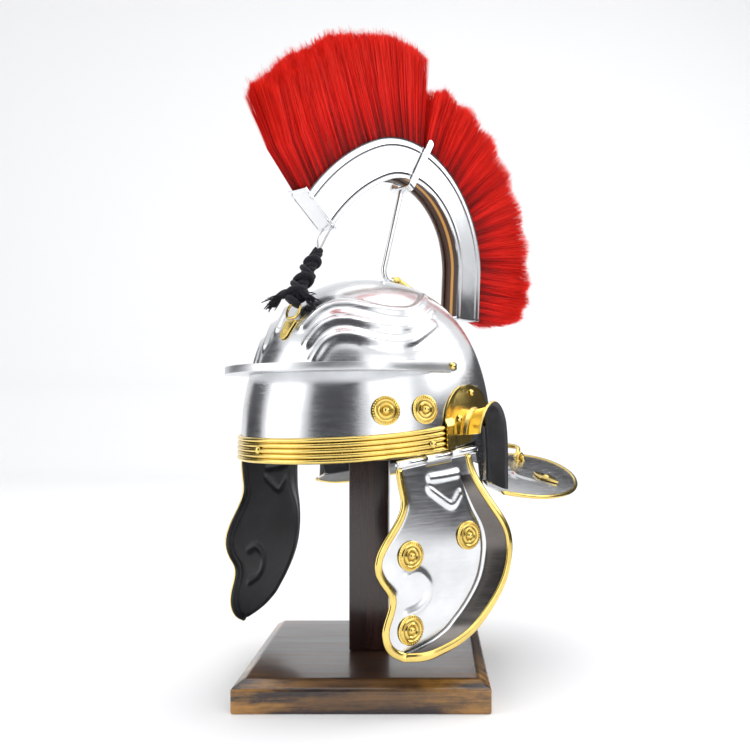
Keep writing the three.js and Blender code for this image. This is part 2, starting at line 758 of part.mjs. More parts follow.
function cheekEdge() {
  const out = CHEEK_EDGE_RADIUS + 1.9 * FIT;
  const samples = [];
  for (let row = 1; row <= CHEEK_ROW_COUNT; row += 1) samples.push([0, row / CHEEK_ROW_COUNT]);
  samples.push([0.5, 1]);
  for (let row = CHEEK_ROW_COUNT; row >= 1; row -= 1) samples.push([1, row / CHEEK_ROW_COUNT]);
  const path = samples.map(([u, v], index) => {
    const before = cheekPoint(...samples[Math.max(0, index - 1)]);
    const after = cheekPoint(...samples[Math.min(samples.length - 1, index + 1)]);
    const point = cheekPoint(u, v);
    const normal = cheekNormal(u, v);
    const bend = point.clone().sub(before).angleTo(after.clone().sub(point));
    const away = after.sub(before).cross(normal).normalize();
    return point.addScaledVector(normal, -STEEL_WALL / 2).addScaledVector(away, out / Math.cos(bend / 2));
  });
  return bar(path, CHEEK_EDGE_RADIUS);
}

function knuckle(index) {
  const gap = FIT / hingeFront.distanceTo(hingeRear);
  const from = onHinge(KNUCKLE_SHARES[index] + gap / 2);
  const to = onHinge(KNUCKLE_SHARES[index + 1] - gap / 2);
  return cylinder(KNUCKLE_RADIUS, from, to, KNUCKLE_SIDES);
}

function hingeBore() {
  return cylinder(PIN_RADIUS + FIT, onHinge(-0.05), onHinge(1.05), BAR_SIDES);
}

// Straps from the outer knuckles down into the cheek plate
function knuckleStrap(index) {
  const low = KNUCKLE_SHARES[index];
  const high = KNUCKLE_SHARES[index + 1];
  return sheet(2, 2, (u, v) => {
    const share = lerp(high - 0.02, low + 0.02, u);
    const start = onHinge(share);
    const y = start.y;
    const plate = cheekSurface(y, lerp(0.012, 0.075, v), 0);
    return new V3(plate.x + (v === 0 ? 0.4 : 0), y, lerp(start.z - 1.6, plate.z, v));
  }, STEEL_WALL);
}

function cheek() {
  const knuckles = [0, 2].flatMap((index) => [knuckle(index), knuckleStrap(index)]);
  return cut(join(cheekPlate(), ...knuckles), hingeBore());
}

// The fixed leaf: a short tab that rises from the middle knuckle to the inside of the rim
function hingeLeaf() {
  const low = KNUCKLE_SHARES[1] + 0.02;
  const high = KNUCKLE_SHARES[2] - 0.02;
  const leaf = sheet(2, 4, (u, v) => {
    const start = onHinge(lerp(low, high, u));
    const turn = Math.acos(clamp(-start.y / (BOWL_HALF_LENGTH - STEEL_WALL), -1, 1));
    const height = start.z + LEAF_HEIGHT * v ** 1.7;
    const wall = (BOWL_HALF_WIDTH - STEEL_WALL) * drawIn(height) * Math.sin(turn) - 2 * FIT;
    return new V3(lerp(start.x - 1, wall, smoothstep(v, 0, 0.3)), start.y, height);
  }, STEEL_WALL);
  return cut(join(knuckle(1), leaf), hingeBore());
}

function hingePin() {
  return cylinder(PIN_RADIUS, onHinge(-0.012), onHinge(1.012), BAR_SIDES);
}

// Round fittings
function rosette() {
  const r = ROSETTE_RADIUS;
  const h = ROSETTE_HEIGHT;
  const profile = [[0, 0], [r, 0], [r * 0.85, h * 0.6], [r * 0.7, h * 0.4], [r * 0.3, h * 0.5], [0, h]];
  return lathe(profile, ROSETTE_SIDES);
}

function rivet() {
  const shoulder = [RIVET_RADIUS * 0.8, RIVET_HEIGHT * 0.7];
  return lathe([[0, 0], [RIVET_RADIUS, 0], shoulder, [0, RIVET_HEIGHT]], RIVET_SIDES);
}

function seat(geometry, point, normal, gap = FIT) {
  return stand(geometry, point.clone().addScaledVector(normal, gap), normal);
}

function cheekFixture(geometry, { y, depth }) {
  const share = depth / CHEEK_HEIGHT;
  const place = (dy, dd) => cheekSurface(y + dy, share + dd / CHEEK_HEIGHT, 0);
  const side = place(1, 0).sub(place(-1, 0));
  const normal = side.cross(place(0, 1).sub(place(0, -1))).negate().normalize();
  return seat(geometry, place(0, 0), normal, FIT * 2);
}

function lozenge() {
  const { x, y, halfLength, halfWidth, height } = LOZENGE;
  const corners = [[halfLength, 0], [0, halfWidth], [-halfLength, 0], [0, -halfWidth]];
  const outline = new THREE.Shape(corners.map(([cornerX, cornerY]) => new V2(cornerX, cornerY)));
  const plate = new THREE.ExtrudeGeometry(outline, { depth: height, bevelEnabled: false, steps: 1 });
  const slope = Math.atan((2 * GUARD_ARCH * x) / GUARD_HALF_WIDTH ** 2);
  const dome = rivet().translate(0, 0, height - 0.1);
  return join(plate, dome).rotateY(slope).translate(x, y, guardHeight(x) + 2 * FIT);
}

// Neck handle and its staples
const handleHeight = guardHeight(HANDLE_HALF_WIDTH) + STAPLE_BORE + FIT;

function neckHandle() {
  const path = [];
  const w = HANDLE_HALF_WIDTH;
  const corners = [
    new V3(-w - 5, HANDLE_BACK, handleHeight), new V3(-w + 5, HANDLE_BACK, handleHeight),
    new V3(-w * 0.72, HANDLE_BACK + HANDLE_GRIP_REACH * 0.75, handleHeight + HANDLE_GRIP_RISE * 0.8),
    new V3(-w * 0.35, HANDLE_BACK + HANDLE_GRIP_REACH, handleHeight + HANDLE_GRIP_RISE),
  ];
  path.push(...corners, ...corners.map((p) => new V3(-p.x, p.y, p.z)).reverse());
  const curve = new THREE.CatmullRomCurve3(path, false, 'centripetal');
  return bar(curve.getPoints(22), HANDLE_RADIUS);
}

function neckStaple() {
  const radius = STAPLE_BORE + STAPLE_RADIUS;
  const path = [];
  const foot = guardHeight(HANDLE_HALF_WIDTH) + FIT - handleHeight;
  path.push(new V3(HANDLE_HALF_WIDTH, HANDLE_BACK - radius, handleHeight + foot));
  for (let step = 0; step <= 8; step += 1) {
    const turn = (step / 8) * Math.PI;
    const y = HANDLE_BACK - Math.cos(turn) * radius;
    path.push(new V3(HANDLE_HALF_WIDTH, y, handleHeight + Math.sin(turn) * radius));
  }
  path.push(new V3(HANDLE_HALF_WIDTH, HANDLE_BACK + radius, handleHeight + foot));
  return bar(path, STAPLE_RADIUS);
}

// Crest: frames along the midline, share 0 at the front end and 1 at the rear end
const frontSweep = degToRad(CREST_FRONT_ANGLE - CREST_TOP_ANGLE) * CREST_FRONT_RADIUS;
const rearSweep = degToRad(CREST_TOP_ANGLE) * CREST_RADIUS;
const crestLength = frontSweep + rearSweep + CREST_REAR_LENGTH;

function crestFrame(share) {
  const distance = share * crestLength;
  const topTurn = degToRad(CREST_TOP_ANGLE);
  const shift = CREST_FRONT_RADIUS - CREST_RADIUS;
  if (distance < frontSweep) {
    const turn = degToRad(CREST_FRONT_ANGLE) - distance / CREST_FRONT_RADIUS;
    const out = new V3(0, Math.cos(turn), Math.sin(turn));
    const topOut = new V3(0, Math.cos(topTurn), Math.sin(topTurn));
    const centre = new V3(0, CREST_CENTRE.y, CREST_CENTRE.z).addScaledVector(topOut, -shift);
    return { point: centre.addScaledVector(out, CREST_FRONT_RADIUS), out };
  }
  const centre = new V3(0, CREST_CENTRE.y, CREST_CENTRE.z);
  const turn = Math.max(0, topTurn - (distance - frontSweep) / CREST_RADIUS);
  const out = new V3(0, Math.cos(turn), Math.sin(turn));
  const past = Math.max(0, distance - frontSweep - rearSweep);
  const drop = new V3(0, -past * CREST_REAR_SLOPE, -past);
  return { point: centre.addScaledVector(out, CREST_RADIUS).add(drop), out };
}

function onCrest(share, x, up) {
  const { point, out } = crestFrame(share);
  return point.clone().addScaledVector(out, up).setX(x);
}

// A four-cornered section across X
function box(halfWidth, low, high) {
  const corners = [[-halfWidth, low], [halfWidth, low], [halfWidth, high], [-halfWidth, high]];
  return corners.map(([x, y]) => new V2(x, y));
}

function crestSweep(halfWidth, low, high, from, to, steps) {
  const section = box(halfWidth, low, high);
  return sweep(section, steps, (share, x, y) => onCrest(lerp(from, to, share), x, y));
}

function crestBox() {
  const half = CREST_DEPTH / 2;
  const wall = CREST_WALL / crestLength;
  const body = crestSweep(CREST_WIDTH / 2, -half, half, 0, 1, 24);
  const hollow = crestSweep(CREST_WIDTH / 2 - CREST_WALL, -half - 5, half + 5, wall, 1 - wall, 24);
  const nose = crestSweep(CREST_WIDTH / 2, -half - CREST_NOSE_REACH, half + CREST_NOSE_REACH, 0, wall, 1);
  return join(cut(body, hollow), nose);
}

function crestCore() {
  const half = CREST_DEPTH / 2;
  const inset = (CREST_WALL + FIT) / crestLength;
  const reach = half - CORE_RECESS;
  return crestSweep(CREST_WIDTH / 2 - CREST_WALL - FIT, -reach, reach, inset, 1 - inset, 24);
}

function crestHair(rows, from, to, tipHalfWidth, steps) {
  const root = CREST_DEPTH / 2 - CORE_RECESS + FIT;
  const collar = CORE_RECESS + 1;
  const section = [
    new V2(-1, 0), new V2(1, 0), new V2(1, 0.02), new V2(1.6, 0.5), new V2(2, 0.94), new V2(1.2, 1),
    new V2(-1.2, 1), new V2(-2, 0.94), new V2(-1.6, 0.5), new V2(-1, 0.02),
  ];
  return sweep(section, steps, (share, x, y) => {
    const index = Math.round(share * steps);
    const lock = index % 2 ? HAIR_LOCK : 0;
    const length = along(rows, 'along', 'length', share) * HAIR_LENGTH + lock;
    const spread = Math.max(0, Math.abs(x) - 1);
    const width = lerp(HAIR_ROOT_HALF_WIDTH, tipHalfWidth - lock, spread);
    const up = y === 0 ? 0 : collar + (length - collar) * y;
    const at = lerp(from, to, share);
    const { out } = crestFrame(at);
    const lean = degToRad(along(rows, 'along', 'lean', share)) * (y > 0.1 ? 1 : 0);
    const way = out.clone().applyAxisAngle(new V3(1, 0, 0), lean);
    return onCrest(at, Math.sign(x) * width, root).addScaledVector(way, up);
  });
}

// Fork: a clasp over both sides of the crest, on a rod whose foot lies in the socket
function crestFork() {
  const tilt = degToRad(FORK_TILT);
  const up = new V3(0, Math.cos(tilt), Math.sin(tilt));
  const foot = new V3(0, FORK_FOOT.y, FORK_FOOT.z);
  const half = CREST_WIDTH / 2 + FIT;
  const arm = (side) => {
    const blade = new THREE.BoxGeometry(FORK_ARM_WALL, FORK_ARM_WIDTH, FORK_ARM_LENGTH);
    blade.translate(side * (half + FORK_ARM_WALL / 2), 0, FORK_ARM_LENGTH / 2);
    return stand(blade, foot, up);
  };
  const bridge = new THREE.BoxGeometry(2 * (half + FORK_ARM_WALL), FORK_ARM_WIDTH, FORK_ARM_WALL * 1.5);
  stand(bridge, foot, up);
  const bend = new V3(0, ROD_BEND.y, ROD_BEND.z);
  const heelY = ROD_BEND.y + 4;
  const heel = new V3(0, heelY, crownHeight(heelY) + ROD_RADIUS + SOCKET.wall + 2 * FIT + 1);
  const toeY = SOCKET.y + SOCKET.length / 2 - SOCKET.wall;
  const toe = new V3(0, toeY, socketAxis(toeY));
  const kneeY = SOCKET.y - SOCKET.length / 2 - 3;
  const knee = new V3(0, kneeY, socketAxis(kneeY));
  const rod = bar([foot, bend, heel, knee, toe], ROD_RADIUS, ROD_SIDES);
  return join(arm(1), arm(-1), bridge, rod);
}

function socketAxis(y) {
  const front = SOCKET.y - SOCKET.length / 2;
  const rear = SOCKET.y + SOCKET.length / 2;
  const slope = (crownHeight(rear) - crownHeight(front)) / SOCKET.length;
  return crownHeight(SOCKET.y) + SOCKET.height / 2 + slope * (y - SOCKET.y);
}

function crestSocket() {
  const front = SOCKET.y - SOCKET.length / 2;
  const rear = SOCKET.y + SOCKET.length / 2;
  const block = (halfWidth, low, high, from, to) => {
    return sweep(box(halfWidth, low, high), 1, (share, x, y) => {
      const at = lerp(from, to, share);
      return new V3(x, at, socketAxis(at) + y);
    });
  };
  const bore = ROD_RADIUS + FIT;
  const body = block(SOCKET.width / 2, -SOCKET.height / 2, SOCKET.height / 2, front, rear);
  return cut(body, block(bore, -bore, bore, front - 1, rear - SOCKET.wall / 2));
}

// Front lashing
const ringY = -BOWL_HALF_LENGTH * drawIn(FRONT_PLATE.height + FRONT_PLATE.length / 2);
const plateTop = FRONT_PLATE.height + FRONT_PLATE.length / 2;

function frontPlate() {
  const low = FRONT_PLATE.height - FRONT_PLATE.length / 2;
  return sheet(2, 4, (u, v) => {
    const height = lerp(low, plateTop, v);
    const point = onBowl(0, height);
    const normal = bowlNormal(0, height);
    const half = (FRONT_PLATE.width / 2) * lerp(0.7, 1, v);
    return point.addScaledVector(normal, FIT * 2 + FRONT_PLATE.wall).setX(lerp(-half, half, u));
  }, FRONT_PLATE.wall);
}

const ringCentre = new V3(0, ringY + 1.5, plateTop + RING_RADIUS + RING_WIRE + 2 * FIT);

function frontRing() {
  const path = Array.from({ length: RING_STEPS }, (_, step) => {
    const turn = (step / RING_STEPS) * 2 * Math.PI;
    const rise = Math.sin(turn) * RING_RADIUS;
    return new V3(Math.cos(turn) * RING_RADIUS, rise * RING_SLANT, rise).add(ringCentre);
  });
  return bar(path, RING_WIRE, BAR_SIDES, true);
}

const noseFoot = onCrest(0, 0, -CREST_DEPTH / 2 - CREST_NOSE_REACH);
const lashTop = noseFoot.clone().add(new V3(0, -LASH_DROP.y, -LASH_DROP.z));
const lashFoot = ringCentre.clone().add(new V3(0, 2, RING_RADIUS + RING_WIRE + 3));

function lashingCord() {
  const count = 16;
  const section = Array.from({ length: CORD_SIDES }, (_, side) => {
    const angle = (side / CORD_SIDES) * 2 * Math.PI;
    return new V2(Math.cos(angle), Math.sin(angle));
  });
  const axis = lashTop.clone().sub(lashFoot);
  const side = new V3(1, 0, 0);
  const front = axis.clone().normalize().cross(side);
  return sweep(section, count, (share, x, y) => {
    const index = Math.round(share * count);
    const knot = index % CORD_KNOT_PITCH === 0 ? 0.72 : 1;
    const radius = CORD_RADIUS * knot * (share < 0.3 ? 1.25 : 1);
    const middle = lashFoot.clone().addScaledVector(axis, share);
    return middle.addScaledVector(side, x * radius).addScaledVector(front, y * radius * CORD_FLATNESS);
  });
}

function crestWire() {
  const away = lashTop.clone().sub(lashFoot).normalize();
  const centre = lashTop.clone().addScaledVector(away, WIRE_TURN_RADIUS + WIRE_RADIUS + FIT / 2);
  const half = -CREST_DEPTH / 2 - WIRE_RADIUS - FIT;
  const front = onCrest(WIRE_FRONT_SHARE, 0, half - CREST_NOSE_REACH);
  const rear = onCrest(WIRE_REAR_SHARE, 0, half);
  const bearing = (point) => Math.atan2(point.z - centre.z, point.y - centre.y);
  const touch = (point) => Math.acos(WIRE_TURN_RADIUS / point.distanceTo(centre));
  const start = bearing(front) + touch(front);
  const end = bearing(rear) - touch(rear) + 2 * Math.PI;
  const turn = Array.from({ length: WIRE_TURN_STEPS + 1 }, (_, step) => {
    const angle = lerp(start, end, step / WIRE_TURN_STEPS);
    const out = new V3(0, Math.cos(angle), Math.sin(angle));
    return centre.clone().addScaledVector(out, WIRE_TURN_RADIUS);
  });
  return bar([front, ...turn, rear], WIRE_RADIUS);
}

// Hook from the crest's rear end to a pad on the back of the bowl
function rearHook() {
  const seatPoint = onBowl(180, HOOK_PAD_HEIGHT);
  const normal = bowlNormal(180, HOOK_PAD_HEIGHT);
  const disc = [[0, 0], [HOOK_PAD_RADIUS, 0], [HOOK_PAD_RADIUS, HOOK_PAD_WALL], [0, HOOK_PAD_WALL]];
  const pad = seat(lathe(disc, RIVET_SIDES), seatPoint, normal, FIT * 2);
  const end = onCrest(1, 0, -CREST_DEPTH / 2).add(new V3(0, -HOOK_RADIUS, 1));
  const knee = end.clone().add(new V3(0, -3, -12));
  const foot = seatPoint.clone().addScaledVector(normal, FIT * 2 + HOOK_PAD_WALL / 2);
  const heel = foot.clone().addScaledVector(normal, HOOK_STAND_OFF);
  return join(pad, bar([end, knee, heel, foot], HOOK_RADIUS));
}

// Assembly of the stand
function standBase() {
  const ring = (inset, height) => {
    const half = BASE_SIDE / 2 - inset;
    const corner = BASE_CORNER;
    const points = [];
    for (const [sx, sy, turn] of [[1, 1, 0], [-1, 1, 90], [-1, -1, 180], [1, -1, 270]]) {
      for (let step = 0; step <= 2; step += 1) {
        const angle = degToRad(turn + step * 45);
        const x = sx * (half - corner) + Math.cos(angle) * corner;
        points.push(new V3(x, sy * (half - corner) + Math.sin(angle) * corner, height));
      }
    }
    return points;
  };
  const rings = [
    ring(0, 0), ring(0, BASE_HEIGHT - BASE_CHAMFER_HEIGHT), ring(BASE_CHAMFER_INSET, BASE_HEIGHT),
  ];
  const section = rings[0].map((point) => new V2(point.x, point.y));
  const order = new Map(section.map((point, index) => [`${point.x},${point.y}`, index]));
  return sweep(section, 2, (share, x, y) => rings[Math.round(share * 2)][order.get(`${x},${y}`)].clone());
}

function standPost() {
  const corner = POST_SIDE / Math.SQRT2;
  const crown = crownHeight(corner * (BOWL_HALF_LENGTH / BOWL_HALF_WIDTH));
  const top = RIM_HEIGHT + crown - STEEL_WALL - 3 * FIT;
  const floor = BASE_HEIGHT + FIT;
  return new THREE.BoxGeometry(POST_SIDE, POST_SIDE, top - floor).translate(0, 0, (top + floor) / 2);
}

const stand3d = new THREE.Group();
stand3d.rotation.z = degToRad(BASE_TURN);
assembly.add(stand3d);
add(stand3d, 'stand_base', standBase(), materials.baseWood);
add(stand3d, 'stand_post', standPost(), materials.postWood);

add(helmet, 'bowl', bowl(), materials.steel);
add(helmet, 'brow_band', browBand(), materials.brass);
add(helmet, 'brow_guard', browGuard(), materials.steel);
addPair('ear_guard', join(earPlate(), earHood()), materials.brass);
add(helmet, 'neck_edge', neckEdge(), materials.brass);
addPair('neck_lozenge', lozenge(), materials.brass);
add(helmet, 'neck_handle', neckHandle(), materials.brass);
addPair('neck_staple', neckStaple(), materials.brass);
addPair('cheek', cheek(), materials.steel);
addPair('cheek_edge', cheekEdge(), materials.brass);
addPair('hinge_leaf', hingeLeaf(), materials.steel);
addPair('hinge_pin', hingePin(), materials.steel);

BOWL_ROSETTES.forEach(({ angle, height }, index) => {
  const geometry = seat(rosette(), onBowl(angle, height), bowlNormal(angle, height), FIT);
  addPair(`bowl_rosette_${index + 1}`, geometry, materials.brass);
});
RIVETS.forEach(({ node, angle, height, out }) => {
  const geometry = seat(rivet(), onBowl(angle, height, out), bowlNormal(angle, height), FIT);
  addPair(node, geometry, materials.brass);
});
CHEEK_ROSETTES.forEach((place, index) => {
  addPair(`cheek_rosette_${index + 1}`, cheekFixture(rosette(), place), materials.brass);
});

add(helmet, 'crest_box', crestBox(), materials.steel);
add(helmet, 'crest_core', crestCore(), materials.coreWood);
const endGap = (CREST_WALL + HAIR_GAP) / crestLength;
const splitGap = HAIR_GAP / crestLength;
const frontHair = crestHair(HAIR_FRONT_ROWS, endGap, HAIR_SPLIT - splitGap, HAIR_TIP_HALF_WIDTH, 18);
const rearHair = crestHair(HAIR_REAR_ROWS, HAIR_SPLIT + splitGap, 1 - endGap, REAR_TIP_HALF_WIDTH, 20);
add(helmet, 'crest_hair_front', frontHair, materials.bristle);
add(helmet, 'crest_hair_rear', rearHair, materials.bristle);
add(helmet, 'crest_fork', crestFork(), materials.steel);
add(helmet, 'crest_socket', crestSocket(), materials.brass);
add(helmet, 'front_plate', frontPlate(), materials.brass);
add(helmet, 'front_ring', frontRing(), materials.brass);
add(helmet, 'lashing_cord', lashingCord(), materials.cord);
add(helmet, 'crest_wire', crestWire(), materials.steel);
add(helmet, 'rear_hook', rearHook(), materials.steel);

export default assembly;
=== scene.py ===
"""Roman legionary helmet with a bristle crest on its wooden stand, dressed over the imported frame.

Sizes are in millimetres and places in the part's frame: the origin is the centre of the
base's underside, +Z is up, the helmet faces -Y and +X is the wearer's left.
"""

import logging
import math
from dataclasses import dataclass
from enum import Enum
from functools import partial
from typing import Callable, Dict, List, Optional, Sequence, Tuple

import bpy
import numpy as np
from mathutils import Matrix, Vector


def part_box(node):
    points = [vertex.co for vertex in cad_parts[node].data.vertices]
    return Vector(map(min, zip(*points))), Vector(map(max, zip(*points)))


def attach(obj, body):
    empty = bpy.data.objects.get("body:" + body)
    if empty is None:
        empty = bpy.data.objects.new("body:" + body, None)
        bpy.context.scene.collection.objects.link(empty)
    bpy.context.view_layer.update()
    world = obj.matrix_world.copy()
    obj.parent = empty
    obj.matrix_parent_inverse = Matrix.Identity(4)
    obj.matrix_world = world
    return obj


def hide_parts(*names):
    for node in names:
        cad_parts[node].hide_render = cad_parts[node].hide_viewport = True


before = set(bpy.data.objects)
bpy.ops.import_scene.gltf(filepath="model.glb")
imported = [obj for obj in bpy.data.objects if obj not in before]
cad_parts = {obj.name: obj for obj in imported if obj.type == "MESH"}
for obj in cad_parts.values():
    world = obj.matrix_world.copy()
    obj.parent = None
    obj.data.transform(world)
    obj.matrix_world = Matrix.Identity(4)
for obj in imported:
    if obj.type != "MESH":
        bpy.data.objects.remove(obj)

LOG = logging.getLogger("helmet")
MM = 0.001
FIT = 0.3
WELD = 0.004
RIM = 194.0

Grid = np.ndarray
Place = Callable[[Grid, Grid], Grid]
Socket = bpy.types.NodeSocket
Piece = bpy.types.Object
Pair = Tuple[float, float]
Triple = Tuple[float, float, float]
Spot = Sequence[float]


class Side(Enum):
    """The wearer's side that a piece is on, as the sign of X."""

    LEFT = 1
    RIGHT = -1

    @property
    def word(self) -> str:
        """The side as it ends a node's name."""
        return self.name.lower()


class Body(Enum):
    """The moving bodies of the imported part."""

    STAND = "stand"
    CHEEK_LEFT = "cheek_piece_left"
    CHEEK_RIGHT = "cheek_piece_right"
    HANDLE = "carrying_handle"


def lerp(start: Grid, end: Grid, share: Grid) -> Grid:
    """Blends from start to end by a share."""
    return start + (end - start) * share


def smoothstep(value: Grid, low: float, high: float) -> Grid:
    """Rises smoothly from 0 at low to 1 at high."""
    share = np.clip((np.asarray(value, float) - low) / (high - low), 0, 1)
    return share * share * (3 - 2 * share)


def stack(x: Grid, y: Grid, z: Grid) -> Grid:
    """Joins three coordinate arrays into points."""
    return np.stack(np.broadcast_arrays(x, y, z), axis=-1).astype(float)


def unit(vectors: Grid) -> Grid:
    """Scales vectors to length one."""
    length = np.linalg.norm(vectors, axis=-1, keepdims=True)
    return vectors / np.maximum(length, 1e-9)


def read_table(rows: Sequence[Tuple[float, ...]], column: int, at: Grid) -> Grid:
    """Reads a column of a table of rows along its first column, with a smooth curve between rows.

    Args:
        rows: the table, with the place along it in the first column.
        column: the column that is read.
        at: the places that are read.

    Returns:
        The column's value at each place.
    """
    keys = np.array([row[0] for row in rows])
    values = np.array([row[column] for row in rows])
    slopes = np.gradient(values, keys)
    at = np.clip(at, keys[0], keys[-1])
    index = np.clip(np.searchsorted(keys, at, side="right") - 1, 0, len(keys) - 2)
    span = keys[index + 1] - keys[index]
    t = (at - keys[index]) / span
    rise = 3 * t**2 - 2 * t**3
    lead = (t**3 - 2 * t**2 + t) * span * slopes[index]
    tail = (t**3 - t**2) * span * slopes[index + 1]
    return lerp(values[index], values[index + 1], rise) + lead + tail


def smooth_path(points: Sequence[Spot], count: int) -> Grid:
    """Runs a smooth curve through points.

    Args:
        points: the places that the curve passes, in order.
        count: how many points the curve gets.

    Returns:
        The curve's points.
    """
    points = np.array(points, float)
    gaps = np.linalg.norm(np.diff(points, axis=0), axis=1) ** 0.5
    keys = np.concatenate([[0], np.cumsum(gaps)])
    rows = [tuple([key, *point]) for key, point in zip(keys, points)]
    at = np.linspace(0, keys[-1], count)
    return np.stack([read_table(rows, axis + 1, at) for axis in range(points.shape[1])], axis=-1)


def runs(path: Grid) -> Grid:
    """Measures how far along a path each of its points lies."""
    return np.concatenate([[0], np.cumsum(np.linalg.norm(np.diff(path, axis=0), axis=1))])


def reach_to(points: Grid, path: Grid) -> Grid:
    """Measures how far points lie from a path.

    Args:
        points: the points, as rows.
        path: the path's points, as rows.

    Returns:
        The distance of each point to the nearest stretch of the path.
    """
    best = np.full(len(points), np.inf)
    for start, end in zip(path[:-1], path[1:]):
        way = end - start
        share = np.clip(((points - start) @ way) / max(way @ way, 1e-9), 0, 1)
        gap = np.linalg.norm(points - start - share[:, None] * way, axis=1)
        best = np.minimum(best, gap)
    return best


class Bench:
    """Makes meshes with Blender's own operators and shapes them in place."""

    @staticmethod
    def clear() -> None:
        """Deselects everything."""
        if bpy.context.mode != "OBJECT":
            bpy.ops.object.mode_set(mode="OBJECT")
        bpy.ops.object.select_all(action="DESELECT")

    @staticmethod
    def take(name: str) -> Piece:
        """Names the primitive that was just added, and its mesh.

        Args:
            name: the name.

        Returns:
            The piece.
        """
        piece = bpy.context.active_object
        piece.name = piece.data.name = name
        return piece

    @staticmethod
    def hold(name: str, data: bpy.types.ID) -> Piece:
        """Links a new object that holds data to the scene.

        Args:
            name: the object's name.
            data: its mesh, curve, lamp or camera.

        Returns:
            The object.
        """
        piece = bpy.data.objects.new(name, data)
        bpy.context.scene.collection.objects.link(piece)
        return piece

    @staticmethod
    def pick(piece: Piece) -> None:
        """Makes a piece the only selected one.

        Args:
            piece: the piece.
        """
        Bench.clear()
        bpy.context.view_layer.objects.active = piece
        piece.select_set(True)

    @staticmethod
    def points(piece: Piece) -> Grid:
        """Reads a piece's points in millimetres.

        Args:
            piece: the piece.

        Returns:
            Its points as rows.
        """
        flat = np.empty(len(piece.data.vertices) * 3)
        piece.data.vertices.foreach_get("co", flat)
        return flat.reshape(-1, 3) / MM

    @staticmethod
    def move(piece: Piece, points: Grid) -> None:
        """Writes a piece's points from millimetres."""
        piece.data.vertices.foreach_set("co", (np.asarray(points, float) * MM).ravel())
        piece.data.update()

    @staticmethod
    def edit(piece: Piece, *steps: Callable) -> None:
        """Opens a piece in edit mode and runs steps, each on all of it.

        Args:
            piece: the piece.
            steps: the operators that are run, in order.
        """
        Bench.pick(piece)
        bpy.ops.object.mode_set(mode="EDIT")
        for step in steps:
            bpy.ops.mesh.select_all(action="SELECT")
            step()
        bpy.ops.object.mode_set(mode="OBJECT")

    @staticmethod
    def weld() -> None:
        """Merges doubled points of the piece that is open."""
        bpy.ops.mesh.remove_doubles(threshold=WELD * MM)

    @staticmethod
    def cap() -> None:
        """Closes the open ends of the piece that is open."""
        bpy.ops.mesh.select_mode(type="EDGE")
        bpy.ops.mesh.select_all(action="DESELECT")
        bpy.ops.mesh.select_non_manifold()
        bpy.ops.mesh.edge_face_add()
        bpy.ops.mesh.select_mode(type="VERT")

    @staticmethod
    def face_away(piece: Piece, inside: Spot) -> None:
        """Turns a sheet's faces so that they look away from a point.

        Args:
            piece: the sheet.
            inside: the point behind the sheet, in millimetres.
        """
        heart = Vector(inside) * MM
        faces = piece.data.polygons
        if sum(face.area * face.normal.dot(face.center - heart) for face in faces) < 0:
            Bench.edit(piece, bpy.ops.mesh.flip_normals)

    @staticmethod
    def sheet(
        name: str, columns: int, rows: int, place: Place, inside: Spot = (0, 0, RIM)
    ) -> Piece:
        """Bends a grid primitive into a sheet.

        Args:
            name: the piece's name.
            columns: how many faces lie across.
            rows: how many faces lie along.
            place: gives the points from the shares across and along.
            inside: a point behind the sheet, so that it faces the other way.

        Returns:
            The sheet, welded where its edges meet.
        """
        Bench.clear()
        bpy.ops.mesh.primitive_grid_add(x_subdivisions=columns, y_subdivisions=rows, size=1)
        piece = Bench.take(name)
        shares = Bench.points(piece) * MM + 0.5
        Bench.move(piece, place(np.clip(shares[:, 0], 0, 1), np.clip(shares[:, 1], 0, 1)))
        Bench.edit(piece, Bench.weld)
        Bench.face_away(piece, inside)
        return piece

    @staticmethod
    def wall(piece: Piece, thickness: float, *finishes: "Finish") -> None:
        """Thickens a sheet inwards.

        Args:
            piece: the sheet.
            thickness: the wall in millimetres.
            finishes: the outer and the inner finish, where they differ.
        """
        Bench.pick(piece)
        for finish in finishes:
            piece.data.materials.append(finish.material())
        solid = piece.modifiers.new("wall", "SOLIDIFY")
        solid.thickness = thickness * MM
        solid.offset = -1
        solid.use_even_offset = False
        solid.material_offset = max(0, len(finishes) - 1)
        bpy.ops.object.modifier_apply(modifier=solid.name)

    @staticmethod
    def soften(piece: Piece, width: float, segments: int = 2, angle: float = 35) -> None:
        """Rounds a piece's sharp edges.

        Args:
            piece: the piece.
            width: the width of the rounding in millimetres.
            segments: how many faces make the rounding.
            angle: edges that bend more than this, in degrees, are rounded.
        """
        Bench.pick(piece)
        bevel = piece.modifiers.new("soften", "BEVEL")
        bevel.width = width * MM
        bevel.segments = segments
        bevel.limit_method = "ANGLE"
        bevel.angle_limit = math.radians(angle)
        bpy.ops.object.modifier_apply(modifier=bevel.name)

    @staticmethod
    def shade(piece: Piece, angle: float = 40) -> None:
        """Shades a piece smooth, apart from edges that bend more than the angle in degrees."""
        Bench.pick(piece)
        bpy.ops.object.shade_smooth_by_angle(angle=math.radians(angle))

